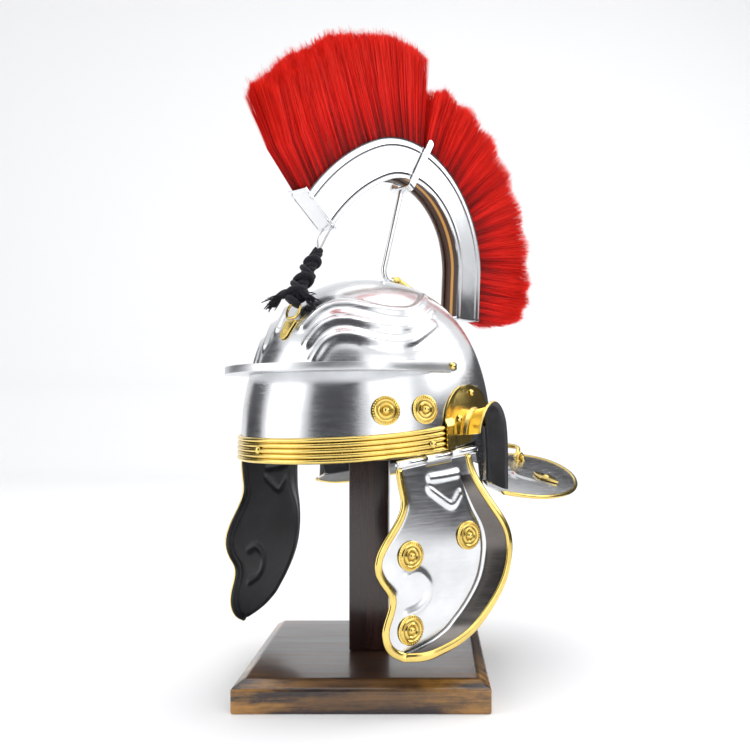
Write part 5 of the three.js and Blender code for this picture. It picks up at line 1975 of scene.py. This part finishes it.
@dataclass
class CrestBox:
    """The curved steel box of the crest with its wooden core, clasp, rod and socket."""

    bead_inset: float = 5.5
    bead: float = 0.7
    clasp_tilt: float = 59
    foot: Pair = (41, 242)
    bend: Pair = (17, 164)
    arm: Triple = (58, 7, 1.8)
    rod: float = 2.4
    socket_y: float = 44
    socket_size: Triple = (15, 24, 11)

    def build_walls(self) -> None:
        """Makes both side walls with a bead near each edge, and the plates that close both ends."""
        parts = []
        half = CREST.depth / 2
        for sign in (1, -1):
            def place(u: Grid, v: Grid, sign: int = sign) -> Grid:
                """Places one wall, with a bead near each edge and a small lip."""
                up = lerp(-half, half, v)
                edge = half - np.abs(up)
                bead = self.bead * np.exp(-(((edge - self.bead_inset) / 1.1) ** 2))
                lip = 0.5 * np.clip(1 - edge / 1.2, 0, 1)
                return CREST.on(lerp(0.003, 0.997, u), sign * (CREST.width / 2 + bead + lip), up)

            wall = Bench.sheet("crest_wall", 110, 44, place, (0, 50, RIM + 150))
            Bench.wall(wall, CREST.wall)
            parts.append(wall)
        parts += [self.end_plate(0.0, CREST.nose), self.end_plate(1.0, 0.6)]
        box = Bench.join("crest_channel", parts)
        Bench.shade(box, 45)
        Dressing("steel", ("crest_box",)).put_on(box, CREST_STEEL)

    def end_plate(self, share: float, reach: float) -> Piece:
        """Makes one end plate with folded margins and a raised middle.

        Args:
            share: 0 for the front end and 1 for the rear end.
            reach: how far it stands past the walls.

        Returns:
            The plate.
        """
        half = CREST.depth / 2 + reach
        thick = (CREST.wall + 0.6) / CREST.length
        sign = -1 if share == 0 else 1

        def place(u: Grid, v: Grid) -> Grid:
            """Places the plate across the box's end, with its middle raised."""
            x = lerp(-CREST.width / 2 - 0.6, CREST.width / 2 + 0.6, u)
            up = lerp(-half, half, v)
            margin = np.minimum(np.minimum(u, 1 - u) * CREST.width, np.minimum(v, 1 - v) * half * 2)
            panel = smoothstep(margin, 2.0, 3.2) * 0.7
            return CREST.on(share - sign * thick * (1 - panel), x, up)

        plate = Bench.sheet("crest_end", 26, 44, place, tuple(CREST.frame(np.array(0.5))[0]))
        Bench.wall(plate, 1.2)
        return plate

    def build_core(self) -> None:
        """Makes the wooden core, set back from both edges of the walls."""
        half = CREST.depth / 2 - CREST.recess
        side = CREST.width / 2 - CREST.wall - FIT
        inset = (CREST.wall + FIT) / CREST.length
        section = [(-side, -half), (0, -half - 0.8), (side, -half), (side, half), (-side, half)]

        def place(u: Grid, x: Grid, y: Grid) -> Grid:
            """Places the section's corners along the crest."""
            return CREST.on(lerp(inset, 1 - inset, u), x, y)

        core = Bench.swept("crest_wood", section, 120, place)
        Bench.shade(core, 30)
        Dressing("core_wood", ("crest_core",)).put_on(core, CORE_WOOD)

    def socket_axis(self, y: Grid) -> Grid:
        """Gives the height of the socket's axis along Y.

        Args:
            y: the places along Y.

        Returns:
            The heights over the rim plane.
        """
        front, rear = self.socket_y - self.socket_size[1] / 2, self.socket_y + self.socket_size[1] / 2
        slope = (FORM.crown(rear) - FORM.crown(front)) / self.socket_size[1]
        return FORM.crown(self.socket_y) + self.socket_size[2] / 2 + slope * (np.asarray(y) - self.socket_y)

    def build_clasp(self) -> None:
        """Makes the forked clasp: two rounded arms, the bridge under the box and the bent rod."""
        tilt = math.radians(self.clasp_tilt)
        up = np.array([0, math.cos(tilt), math.sin(tilt)])
        ahead = np.array([0, -math.sin(tilt), math.cos(tilt)])
        foot = np.array([0, self.foot[0], self.foot[1] + RIM])
        length, width, thick = self.arm
        half = CREST.width / 2 + FIT + 0.6
        path = []
        for turn in np.linspace(0, math.pi / 2, 8):
            path.append((half - 3 + 3 * math.sin(turn), 3 - 3 * math.cos(turn)))
        loop = [(-x, y) for x, y in [(half, length)] + path[::-1]] + path + [(half, length)]

        def place(u: Grid, v: Grid) -> Grid:
            """Places the strap along its loop, rounded at both tips."""
            corners = np.array(loop)
            keys = runs(corners)
            keys = keys / keys[-1]
            x, y = np.interp(u, keys, corners[:, 0]), np.interp(u, keys, corners[:, 1])
            span = np.clip((length - y) / (width / 2), 0, 1)
            wide = width / 2 * np.sqrt(1 - (1 - span) ** 2) * (v * 2 - 1)
            return foot + stack(x, 0, 0) + y[:, None] * up + wide[:, None] * ahead

        strap = Bench.sheet("clasp_strap", 160, 8, place, tuple(foot + up * 26))
        Bench.wall(strap, -thick)
        Bench.soften(strap, 0.4, 2, 50)
        heel_y = self.bend[0] + 4
        heel = (0, heel_y, float(FORM.crown(heel_y)) + self.rod + 2 + 2 * FIT + 1 + RIM)
        knee_y = self.socket_y - self.socket_size[1] / 2 - 3
        toe_y = self.socket_y + self.socket_size[1] / 2 - 2
        corners = [tuple(foot + up * 1.0), (0, self.bend[0], self.bend[1] + RIM), heel]
        corners += [(0, y, float(self.socket_axis(y)) + RIM) for y in (knee_y, toe_y)]
        rod = Bench.tube("clasp_rod", self.round_corners(corners, 5), self.rod, sides=5)
        clasp = Bench.join("crest_clasp", [strap, rod])
        Bench.shade(clasp, 45)
        Dressing("steel", ("crest_fork",)).put_on(clasp, CREST_STEEL)

    @staticmethod
    def round_corners(corners: Sequence[Spot], radius: float) -> Grid:
        """Runs a path through corners with each bend rounded.

        Args:
            corners: the corners in order.
            radius: the rounding.

        Returns:
            The path.
        """
        corners = [np.array(corner, float) for corner in corners]
        path = [corners[0]]
        for before, corner, after in zip(corners[:-2], corners[1:-1], corners[2:]):
            back, ahead = before - corner, after - corner
            reach = min(radius, np.linalg.norm(back) / 2.2, np.linalg.norm(ahead) / 2.2)
            start = corner + unit(back) * reach
            end = corner + unit(ahead) * reach
            for t in np.linspace(0, 1, 7):
                path.append((1 - t) ** 2 * start + 2 * t * (1 - t) * corner + t**2 * end)
        path.append(corners[-1])
        return np.array(path)

    def build_socket(self) -> None:
        """Makes the brass socket on the crown with a round collar at its mouth."""
        width, length, height = self.socket_size
        start = self.socket_y - length / 2
        half, tall, bore = width / 2, height / 2, self.rod + FIT

        def skin(u: Grid, x: Grid, y: Grid) -> Grid:
            """Places the section's corners along the socket's sloping axis."""
            at = start + u * length
            return stack(x, at, self.socket_axis(at) + y + RIM)

        right = [(half, -tall), (half, tall * 0.4), (half * 0.55, tall)]
        section = right + [(-x, y) for x, y in reversed(right)]
        block = Bench.swept("socket_block", section, 6, skin)
        Bench.soften(block, 0.8, 3, 30)
        heights = self.socket_axis(np.array([start, start + 1.5])) + RIM
        path = stack(0, np.array([start - 0.8, start + 1.5]), heights)
        mouth = Bench.tube("socket_mouth", path, bore + 1.6, sides=6)
        socket = Bench.join("crown_socket", [block, mouth])
        Bench.shade(socket, 40)
        Dressing("brass", ("crest_socket",)).put_on(socket, BRASS)

    def build(self) -> None:
        """Makes the box, its core, the clasp and the socket."""
        self.build_walls()
        self.build_core()
        self.build_clasp()
        self.build_socket()


@dataclass
class Bristle:
    """One section of the crest's hair: a dense mass under thousands of single hairs."""

    name: str
    node: str
    start: float
    end: float
    rows: Tuple[Triple, ...]
    tip_half: float
    ragged: float
    tufts: int
    seed: int
    bow: float = 0
    longest: float = 98
    root_half: float = 8
    hairs: int = 12500
    radius: float = 0.22

    def grow(self, along: Grid, across: Grid, share: Grid, tone: Grid) -> Tuple[Grid, Grid]:
        """Places points of hairs.

        Args:
            along: each hair's share along the section.
            across: each hair's place across, from -1 to 1.
            share: the share of the hair's length at each of its rings.
            tone: a random number from 0 to 1 for each hair, which changes its length.

        Returns:
            The points and the ways out, one row per hair and ring.
        """
        at = lerp(self.start, self.end, along)
        point, out = CREST.frame(at)
        root = CREST.depth / 2 - CREST.recess + FIT
        length = read_table(self.rows, 1, along) * self.longest
        crown = 1 - 0.10 * np.abs(across) ** 2.5
        tuft = np.sin(along * self.tufts * 6.28 + across * 1.7) * 0.5 + 0.5
        stray = 0.05 * (np.modf(tone * 97)[0] > 0.93)
        length = length * crown * (1 - self.ragged * (0.55 * tuft + 0.45 * tone) + stray)
        lean = np.radians(read_table(self.rows, 2, along))
        cos, sin = np.cos(lean), np.sin(lean)
        way = stack(0 * lean, out[:, 1] * cos - out[:, 2] * sin, out[:, 1] * sin + out[:, 2] * cos)
        base = point + out * root
        base[:, 0] = across * self.root_half
        run = length[:, None] * share[None, :]
        points = base[:, None, :] + way[:, None, :] * run[..., None]
        bow = self.bow * np.clip(1 - along / 0.3, 0, 1)
        lift = np.cross(np.array([1.0, 0, 0]), way) * bow[:, None]
        points += lift[:, None, :] * np.sin(np.pi * np.clip(share, 0, 1))[None, :, None]
        spread = across * (self.tip_half - self.root_half)
        points[..., 0] += spread[:, None] * share[None, :] ** 1.25
        return points, way

    def build_mass(self) -> None:
        """Makes the dense mass inside the hair, which hides the far side and is coloured dark red as painted
        shade.
        """
        right = [(0.3, 0), (1, 0), (1, 0.35), (1, 0.7), (0.9, 0.93), (0.4, 1)]
        section = right + [(-x, y) for x, y in reversed(right)]

        def place(u: Grid, x: Grid, y: Grid) -> Grid:
            """Places the section's corners a little inside the hair's outline."""
            points, _ = self.grow(lerp(0.02, 0.98, u), x * 0.80, np.array([0.0, 1.0]), 0 * u + 0.5)
            mid = x * 0.80 * (self.root_half + (self.tip_half - self.root_half) * y**1.25)
            flat = points[:, 0] + (points[:, 1] - points[:, 0]) * (y * 0.90)[:, None]
            flat[:, 0] = mid
            return flat

        mass = Bench.swept(f"{self.name}_mass", section, 60, place)
        Bench.shade(mass, 60)
        # Painted shade: the whole mass gets a low, dark shade, as the inside of the crest in shade.
        self.shade_points(mass, np.full(len(mass.data.vertices), 0.22))
        Dressing("bristle").put_on(mass, BRISTLE)

    @staticmethod
    def shade_points(piece: Piece, shade: Grid) -> None:
        """Writes each point's shade where the finish reads it."""
        attribute = piece.data.attributes.new("shade", "FLOAT", "POINT")
        attribute.data.foreach_set("value", np.asarray(shade, np.float32))

    def build_hairs(self, part: int) -> None:
        """Makes one batch of single hairs as three-sided tapering rods, in one mesh.

        Args:
            part: the batch's number, which also seeds it.
        """
        dice = np.random.default_rng(self.seed * 10 + part)
        count, rings = self.hairs, np.array([0.0, 0.5, 1.0])
        along = dice.random(count)
        across = np.sign(dice.random(count) - 0.5) * dice.random(count) ** 0.62
        tone = dice.random(count)
        points, way = self.grow(along, across, rings, tone)
        drift = dice.normal(0, 1, (count, 3)) * np.array([1.0, 1.2, 1.2])
        clump = np.stack([np.sin(along * 57 + across * 9 + k * 2.1) for k in range(3)], axis=-1) * 0.6
        points += (drift + clump)[:, None, :] * (rings**1.6)[None, :, None]
        first = unit(np.cross(way, dice.normal(0, 1, (count, 3))))
        second = np.cross(way, first)
        thick = self.radius * np.array([1.0, 1.12, 0.3])
        ring, sides = len(rings), 3
        corners = []
        for k in range(sides):
            turn = k / sides * 2 * math.pi
            side = first * math.cos(turn) + second * math.sin(turn)
            corners.append(points + side[:, None, :] * thick[None, :, None])
        verts = np.stack(corners, axis=2).reshape(-1, 3) * MM
        faces = []
        base = np.arange(count)[:, None] * ring * sides
        for step in range(ring - 1):
            for k in range(sides):
                a, b = step * sides + k, step * sides + (k + 1) % sides
                corners = [base + a, base + b, base + b + sides, base + a + sides]
                faces.append(np.stack(corners, axis=-1).reshape(-1, 4))
        faces = np.concatenate(faces)
        mesh = bpy.data.meshes.new(f"{self.name}_hairs_{part}")
        mesh.vertices.add(len(verts))
        mesh.vertices.foreach_set("co", verts.ravel())
        mesh.loops.add(faces.size)
        mesh.loops.foreach_set("vertex_index", faces.ravel().astype(np.int32))
        mesh.polygons.add(len(faces))
        mesh.polygons.foreach_set("loop_start", np.arange(0, faces.size, 4, dtype=np.int32))
        mesh.update(calc_edges=True)
        mesh.validate()
        piece = Bench.hold(mesh.name, mesh)
        # Painted shade and light: each hair is darkest at its root and brightest at its tip.
        rise = np.array([0.02, 0.52, 0.86])[None, :, None]
        # The sine stripes are painted shade in the gaps between tufts; the tone term is each hair's own
        # random tone.
        streak = 0.15 * np.sin(along * 143 + across * 5) + 0.12 * np.sin(along * 41 + across * 2)
        streak += 0.24 * (tone - 0.5)
        shade = np.clip(rise + streak[:, None, None], 0, 1) * np.ones((count, ring, sides))
        self.shade_points(piece, shade.ravel())
        Bench.pick(piece)
        bpy.ops.object.shade_smooth()
        nodes = (self.node,) if part == 0 else ()
        Dressing("bristle", nodes).put_on(piece, BRISTLE)

    def build(self, batches: int) -> None:
        """Makes the mass and its batches of hair.

        Args:
            batches: how many batches.
        """
        self.build_mass()
        for part in range(batches):
            self.build_hairs(part)


@dataclass
class Lashing:
    """The wire loop, knotted cord, ring and plate in front, and the hook behind."""

    plate_height: float = 102
    plate_length: float = 15
    plate_width: float = 12.5
    plate_wall: float = 1.2
    ring_radius: float = 7.2
    ring_wire: float = 1
    drop: Pair = (9, 16)
    cord: float = 2.7
    knots: Tuple[Triple, ...] = (
        (-0.09, -0.4, 5.2), (0.05, 0.5, 7.2), (0.17, -0.6, 6.8),
        (0.33, 0.7, 6.0), (0.52, -0.6, 5.6), (0.72, 0.5, 4.9),
    )
    tail_right: Triple = (0.766, 0.643, 0)
    tail_near: Triple = (0.643, -0.766, 0)
    tail_ways: Tuple[Triple, ...] = ((-12, 3, 4), (-17, 5, 3), (9, 2, 5))
    threads: int = 36
    wire: float = 0.8
    hook: float = 1.6

    def __post_init__(self) -> None:
        """Works out where the ring and both ends of the cord lie."""
        top = self.plate_height + self.plate_length / 2
        ring_y = -FORM.half_length * float(FORM.draw_in(top)) + 1.5
        self.ring_centre = np.array([0, ring_y, top + self.ring_radius + self.ring_wire + 2 * FIT + RIM])
        nose = CREST.on(np.array(0.0), 0.0, np.array(-CREST.depth / 2 - CREST.nose))
        self.top = nose + np.array([0, -self.drop[0], -self.drop[1]])
        self.foot = self.ring_centre + np.array([0, 2, self.ring_radius + self.ring_wire + 3])

    def build_plate(self) -> None:
        """Makes the tapered brass plate with its rivet."""
        low = self.plate_height - self.plate_length / 2

        def place(u: Grid, v: Grid) -> Grid:
            """Places the plate on the bowl, narrower towards its foot."""
            height = lerp(low, low + self.plate_length, v)
            half = self.plate_width / 2 * lerp(0.62, 1, v) * np.sqrt(np.clip(v * 9, 0.25, 1))
            points = FORM.on(0 * u, height) + FORM.normal(0 * u, height) * (FIT * 2 + self.plate_wall)
            points[:, 0] = lerp(-half, half, u)
            return points

        plate = Bench.sheet("plate_sheet", 12, 24, place)
        Bench.wall(plate, self.plate_wall)
        Bench.soften(plate, 0.3, 2, 50)
        rivet = Bench.spun("plate_rivet", [(0, 1.3), (1.0, 1.1), (1.8, 0.5), (2.0, 0), (0, 0)], 20)
        at = self.plate_height - 1.5
        way = FORM.normal(0.0, at)
        Bench.stand_up(rivet, FORM.on(0.0, at) + way * (FIT * 2 + self.plate_wall), way)
        piece = Bench.join("front_tab", [plate, rivet])
        Bench.shade(piece, 40)
        Dressing("brass", ("front_plate",)).put_on(piece, BRASS)

    def build_ring(self) -> None:
        """Makes the D-shaped ring, flat where it lies on the plate."""
        turn = np.linspace(0, 2 * math.pi, 48, endpoint=False)
        rise = np.maximum(np.sin(turn) * self.ring_radius, -self.ring_radius * 0.82)
        path = self.ring_centre + np.stack([np.cos(turn) * self.ring_radius, rise * 0.35, rise], axis=-1)
        ring = Bench.tube("brow_ring", path, self.ring_wire * 1.15, cyclic=True, sides=4)
        Dressing("brass", ("front_ring",)).put_on(ring, BRASS)

    def build_cord(self) -> None:
        """Makes the doubled cord with its knots and frayed tails."""
        parts = []
        axis = self.top - self.foot
        along = unit(axis)
        right = np.array([1.0, 0, 0])
        front = np.cross(along, right)
        share = np.linspace(-0.02, 0.98, 120)
        swell = 1 + 0.35 * np.exp(-(((share - 0.12) / 0.12) ** 2)) - 0.25 * smoothstep(share, 0.8, 1)
        for ply in range(4):
            turn = share * 2 * math.pi * 2.6 + ply * math.pi / 2
            ring = 3.0 * swell
            path = self.foot + share[:, None] * axis
            path = path + right * (np.cos(turn) * ring)[:, None]
            path = path + front * (np.sin(turn) * ring * 0.85)[:, None]
            parts.append(Bench.tube(f"cord_ply_{ply}", path, self.cord * 0.92, sides=3))
        turn = np.linspace(0, 2 * math.pi, 40, endpoint=False)
        cos, sin = np.cos(turn)[:, None], np.sin(turn)[:, None]
        for index, (at, lean, size) in enumerate(self.knots):
            path = self.foot + axis * at + (right + along * lean) * size * cos + front * size * 0.9 * sin
            parts.append(Bench.tube(f"cord_knot_{index}", path, self.cord, cyclic=True, sides=3))
        parts += self.tails()
        cord = Bench.join("knotted_cord", parts)
        Bench.shade(cord, 60)
        Dressing("cord", ("lashing_cord",)).put_on(cord, CORD)

    def tails(self) -> List[Piece]:
        """Makes the two tails of the cord, each with a brush of loose threads.

        Returns:
            The tails and their threads.
        """
        dice = np.random.default_rng(7)
        right, near, down = np.array(self.tail_right), np.array(self.tail_near), np.array([0, 0, -1.0])
        parts = []
        knot = self.foot + (self.top - self.foot) * 0.06
        for index, (across, fall, out) in enumerate(self.tail_ways):
            end = knot + right * across + down * fall + near * out
            middle = knot + right * across * 0.5 + down * (fall * 0.2 - 2) + near * (out * 0.9)
            path = smooth_path([knot, middle, end], 16)
            parts.append(Bench.tube(f"tail_{index}", path, self.cord, sides=3))
            ahead = unit(path[-1] - path[-4])
            for thread in range(self.threads):
                spread = dice.normal(0, 1, 3)
                tip = end + ahead * (4 + 4 * dice.random()) + spread * 3.0
                start = end + spread * 0.8 - ahead * 1.0
                hair = smooth_path([start, (start + tip) / 2 + dice.normal(0, 0.6, 3), tip], 5)
                parts.append(Bench.tube(f"thread_{index}_{thread}", hair, 0.42, sides=0))
        return parts

    def build_wire(self) -> None:
        """Makes the wire loop that hangs from the crest's front end."""
        start = CREST.on(np.array(0.004), -6.5, np.array(-CREST.depth / 2 - CREST.nose + 0.4))
        end = CREST.on(np.array(0.03), 6.5, np.array(-CREST.depth / 2 - 0.6))
        low = self.top + unit(self.top - self.foot) * 0.4
        bowed = lerp(start, low, 0.45) + np.array([-1.6, -1.6, 0])
        path = smooth_path([start, bowed, low, lerp(end, low, 0.5), end], 40)
        wire = Bench.tube("front_wire", path, self.wire, sides=3)
        Dressing("steel", ("crest_wire",)).put_on(wire, CREST_STEEL)

    def build_hook(self) -> None:
        """Makes the hook from the crest's rear end to its pad on the bowl."""
        seat, way = FORM.on(180.0, 104.0), FORM.normal(180.0, 104.0)
        pad = Bench.spun("hook_pad", [(0, 1.6), (5, 1.5), (6, 0.9), (6, 0), (0, 0)], 32)
        Bench.stand_up(pad, seat + way * FIT * 2, way)
        end = CREST.on(np.array(1.0), 0.0, np.array(-CREST.depth / 2)) + np.array([0, -self.hook, 1])
        knee = end + np.array([0, -3, -12])
        corners = [end, knee, seat + way * 9, seat + way]
        bar = Bench.tube("hook_bar", CrestBox.round_corners(corners, 5), self.hook, sides=4)
        hook = Bench.join("crest_hook", [pad, bar])
        Bench.shade(hook, 45)
        Dressing("steel", ("rear_hook",)).put_on(hook, CREST_STEEL)

    def build(self) -> None:
        """Makes the whole lashing and the hook."""
        self.build_plate()
        self.build_ring()
        self.build_cord()
        self.build_wire()
        self.build_hook()


@dataclass
class Studio:
    """The pale floor, soft lights and camera."""

    camera_place: Triple = (0.5127, -0.5301, 0.2295)
    camera_turn: float = 40
    lens: float = 39.98
    shift: Pair = (-0.072, 0.052)
    aim: Triple = (0, 0, 0.28)
    floor_size: Pair = (24000, 9000)
    floor_flat: float = 2300
    floor_bend: float = 700
    sky: Tuple[float, ...] = (0.97, 0.98, 1.0, 1)
    sky_strength: float = 0.86
    cards: Tuple[Tuple[str, float, float, float, float], ...] = (
        ("front_card", -12, 46, 1.35, 1.7), ("left_card", -112, 34, 1.5, 1.2),
        ("right_card", 98, 74, 1.2, 0.48), ("low_card", 134, 60, 0.55, 0.40),
    )

    def build_floor(self) -> None:
        """Makes the floor, which curves up far behind the helmet."""

        def place(u: Grid, v: Grid) -> Grid:
            """Places the floor, flat round the helmet and curved up behind it."""
            run = (v - 0.45) * self.floor_size[1]
            rise = np.clip(run - self.floor_flat, 0, None)
            turn = math.radians(self.camera_turn)
            cos, sin = math.cos(turn), math.sin(turn)
            across = (u - 0.5) * self.floor_size[0]
            bend = self.floor_bend
            deep = run - rise + np.minimum(rise, bend) * 0.6
            up = np.where(rise < bend, rise**2 / (2 * bend), rise - bend / 2)
            return stack(across * cos - deep * sin, across * sin + deep * cos, up)

        floor = Bench.sheet("floor", 8, 60, place, (0, 0, -3000))
        floor.data.materials.append(FLOOR.material())
        Bench.shade(floor, 80)

    def light(self, name: str, place: Spot, size: Pair, power: float) -> None:
        """Adds a soft rectangular light that looks at the helmet.

        Args:
            name: the light's name.
            place: its place in metres.
            size: its width and height in metres.
            power: its power in watts.
        """
        lamp = bpy.data.lights.new(name, "AREA")
        lamp.shape = "RECTANGLE"
        lamp.size, lamp.size_y = size
        lamp.energy = power
        holder = Bench.hold(name, lamp)
        holder.location = place
        holder.visible_camera = False
        way = Vector(self.aim) - Vector(place)
        holder.rotation_euler = way.to_track_quat("-Z", "Y").to_euler()

    def round_about(self, bearing: float, reach: float, height: float) -> Triple:
        """Gives a place in metres, from a bearing in degrees right of the camera, a reach and a height."""
        turn = math.radians(bearing + self.camera_turn - 90)
        return (math.cos(turn) * reach, math.sin(turn) * reach, height)

    def build_lights(self) -> None:
        """Sets the soft lights and the even sky."""
        self.light("left_light", self.round_about(-66, 1.8, 0.85), (1.5, 1.7), 9)
        self.light("right_light", self.round_about(37, 1.8, 0.85), (1.2, 1.7), 6)
        self.light("side_light", self.round_about(100, 2.2, 1.5), (2.0, 1.0), 17)
        self.light("top_light", (0.0, 0.2, 2.3), (2.4, 2.4), 24)
        world = bpy.data.worlds.new("studio")
        bpy.context.scene.world = world
        world.use_nodes = True
        background = world.node_tree.nodes["Background"]
        background.inputs["Color"].default_value = self.sky
        background.inputs["Strength"].default_value = self.sky_strength
        bpy.context.scene.view_settings.view_transform = "Standard"

    def build_flags(self) -> None:
        """Hangs dark cards that only the metal's reflections see."""
        for name, bearing, width, reach, top in self.cards:

            def place(u: Grid, v: Grid) -> Grid:
                """Bends the card round the helmet, from just over the floor to its top."""
                turn = np.radians(bearing + (u - 0.5) * width + self.camera_turn - 90)
                return stack(np.cos(turn) * reach, np.sin(turn) * reach, top * (v > 0.5) + 0.01) / MM

            flag = Bench.sheet(name, 16, 1, place)
            Bench.paint(flag, BLACK)
            flag.visible_diffuse = False
            flag.visible_camera = False
            flag.visible_shadow = False

    def build_camera(self) -> None:
        """Sets the camera at the photograph's angle."""
        camera = bpy.data.cameras.new("camera")
        camera.lens = self.lens
        camera.sensor_width = 36
        camera.shift_x, camera.shift_y = self.shift
        camera.clip_end = 50
        holder = Bench.hold("camera", camera)
        holder.location = self.camera_place
        holder.rotation_euler = (math.pi / 2, 0, math.radians(self.camera_turn))
        bpy.context.scene.camera = holder

    def build(self) -> None:
        """Sets up the whole studio."""
        self.build_camera()
        self.build_floor()
        self.build_lights()
        self.build_flags()


def build_hair() -> None:
    """Grows both sections of the crest's hair."""
    edge = (CREST.wall + 2) / CREST.length
    gap = 0.3 / CREST.length
    split = 0.47
    front = ((0.0, 0.95, -19), (0.15, 0.93, -13), (0.4, 0.94, -4), (0.7, 0.97, 7), (1.0, 0.98, 14))
    rear = (
        (0.0, 0.7, 8), (0.15, 0.82, 5), (0.4, 0.9, 2), (0.65, 0.94, 0),
        (0.85, 0.9, -2), (0.95, 0.74, -4), (1.0, 0.5, -4),
    )
    Bristle("front_bristle", "crest_hair_front", edge, split - gap, front, 17, 0.05, 3, 1, 5).build(2)
    Bristle("rear_bristle", "crest_hair_rear", split + gap, 1 - edge, rear, 21, 0.16, 9, 2).build(2)


def main() -> None:
    """Builds the studio and every piece of the helmet in order."""
    logging.basicConfig(level=logging.INFO, format="%(name)s %(message)s")
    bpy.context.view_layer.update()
    Studio().build()
    Stand().build()
    SteelBowl().build()
    BrowTrim().build()
    for side in Side:
        EarGuard().build(side)
    fittings = RoundFittings()
    fittings.build()
    for side in Side:
        CheekPiece(side).build(fittings)
    fittings.clear_models()
    NeckFittings().build()
    CrestBox().build()
    build_hair()
    Lashing().build()


if __name__ == "__main__":
    main()
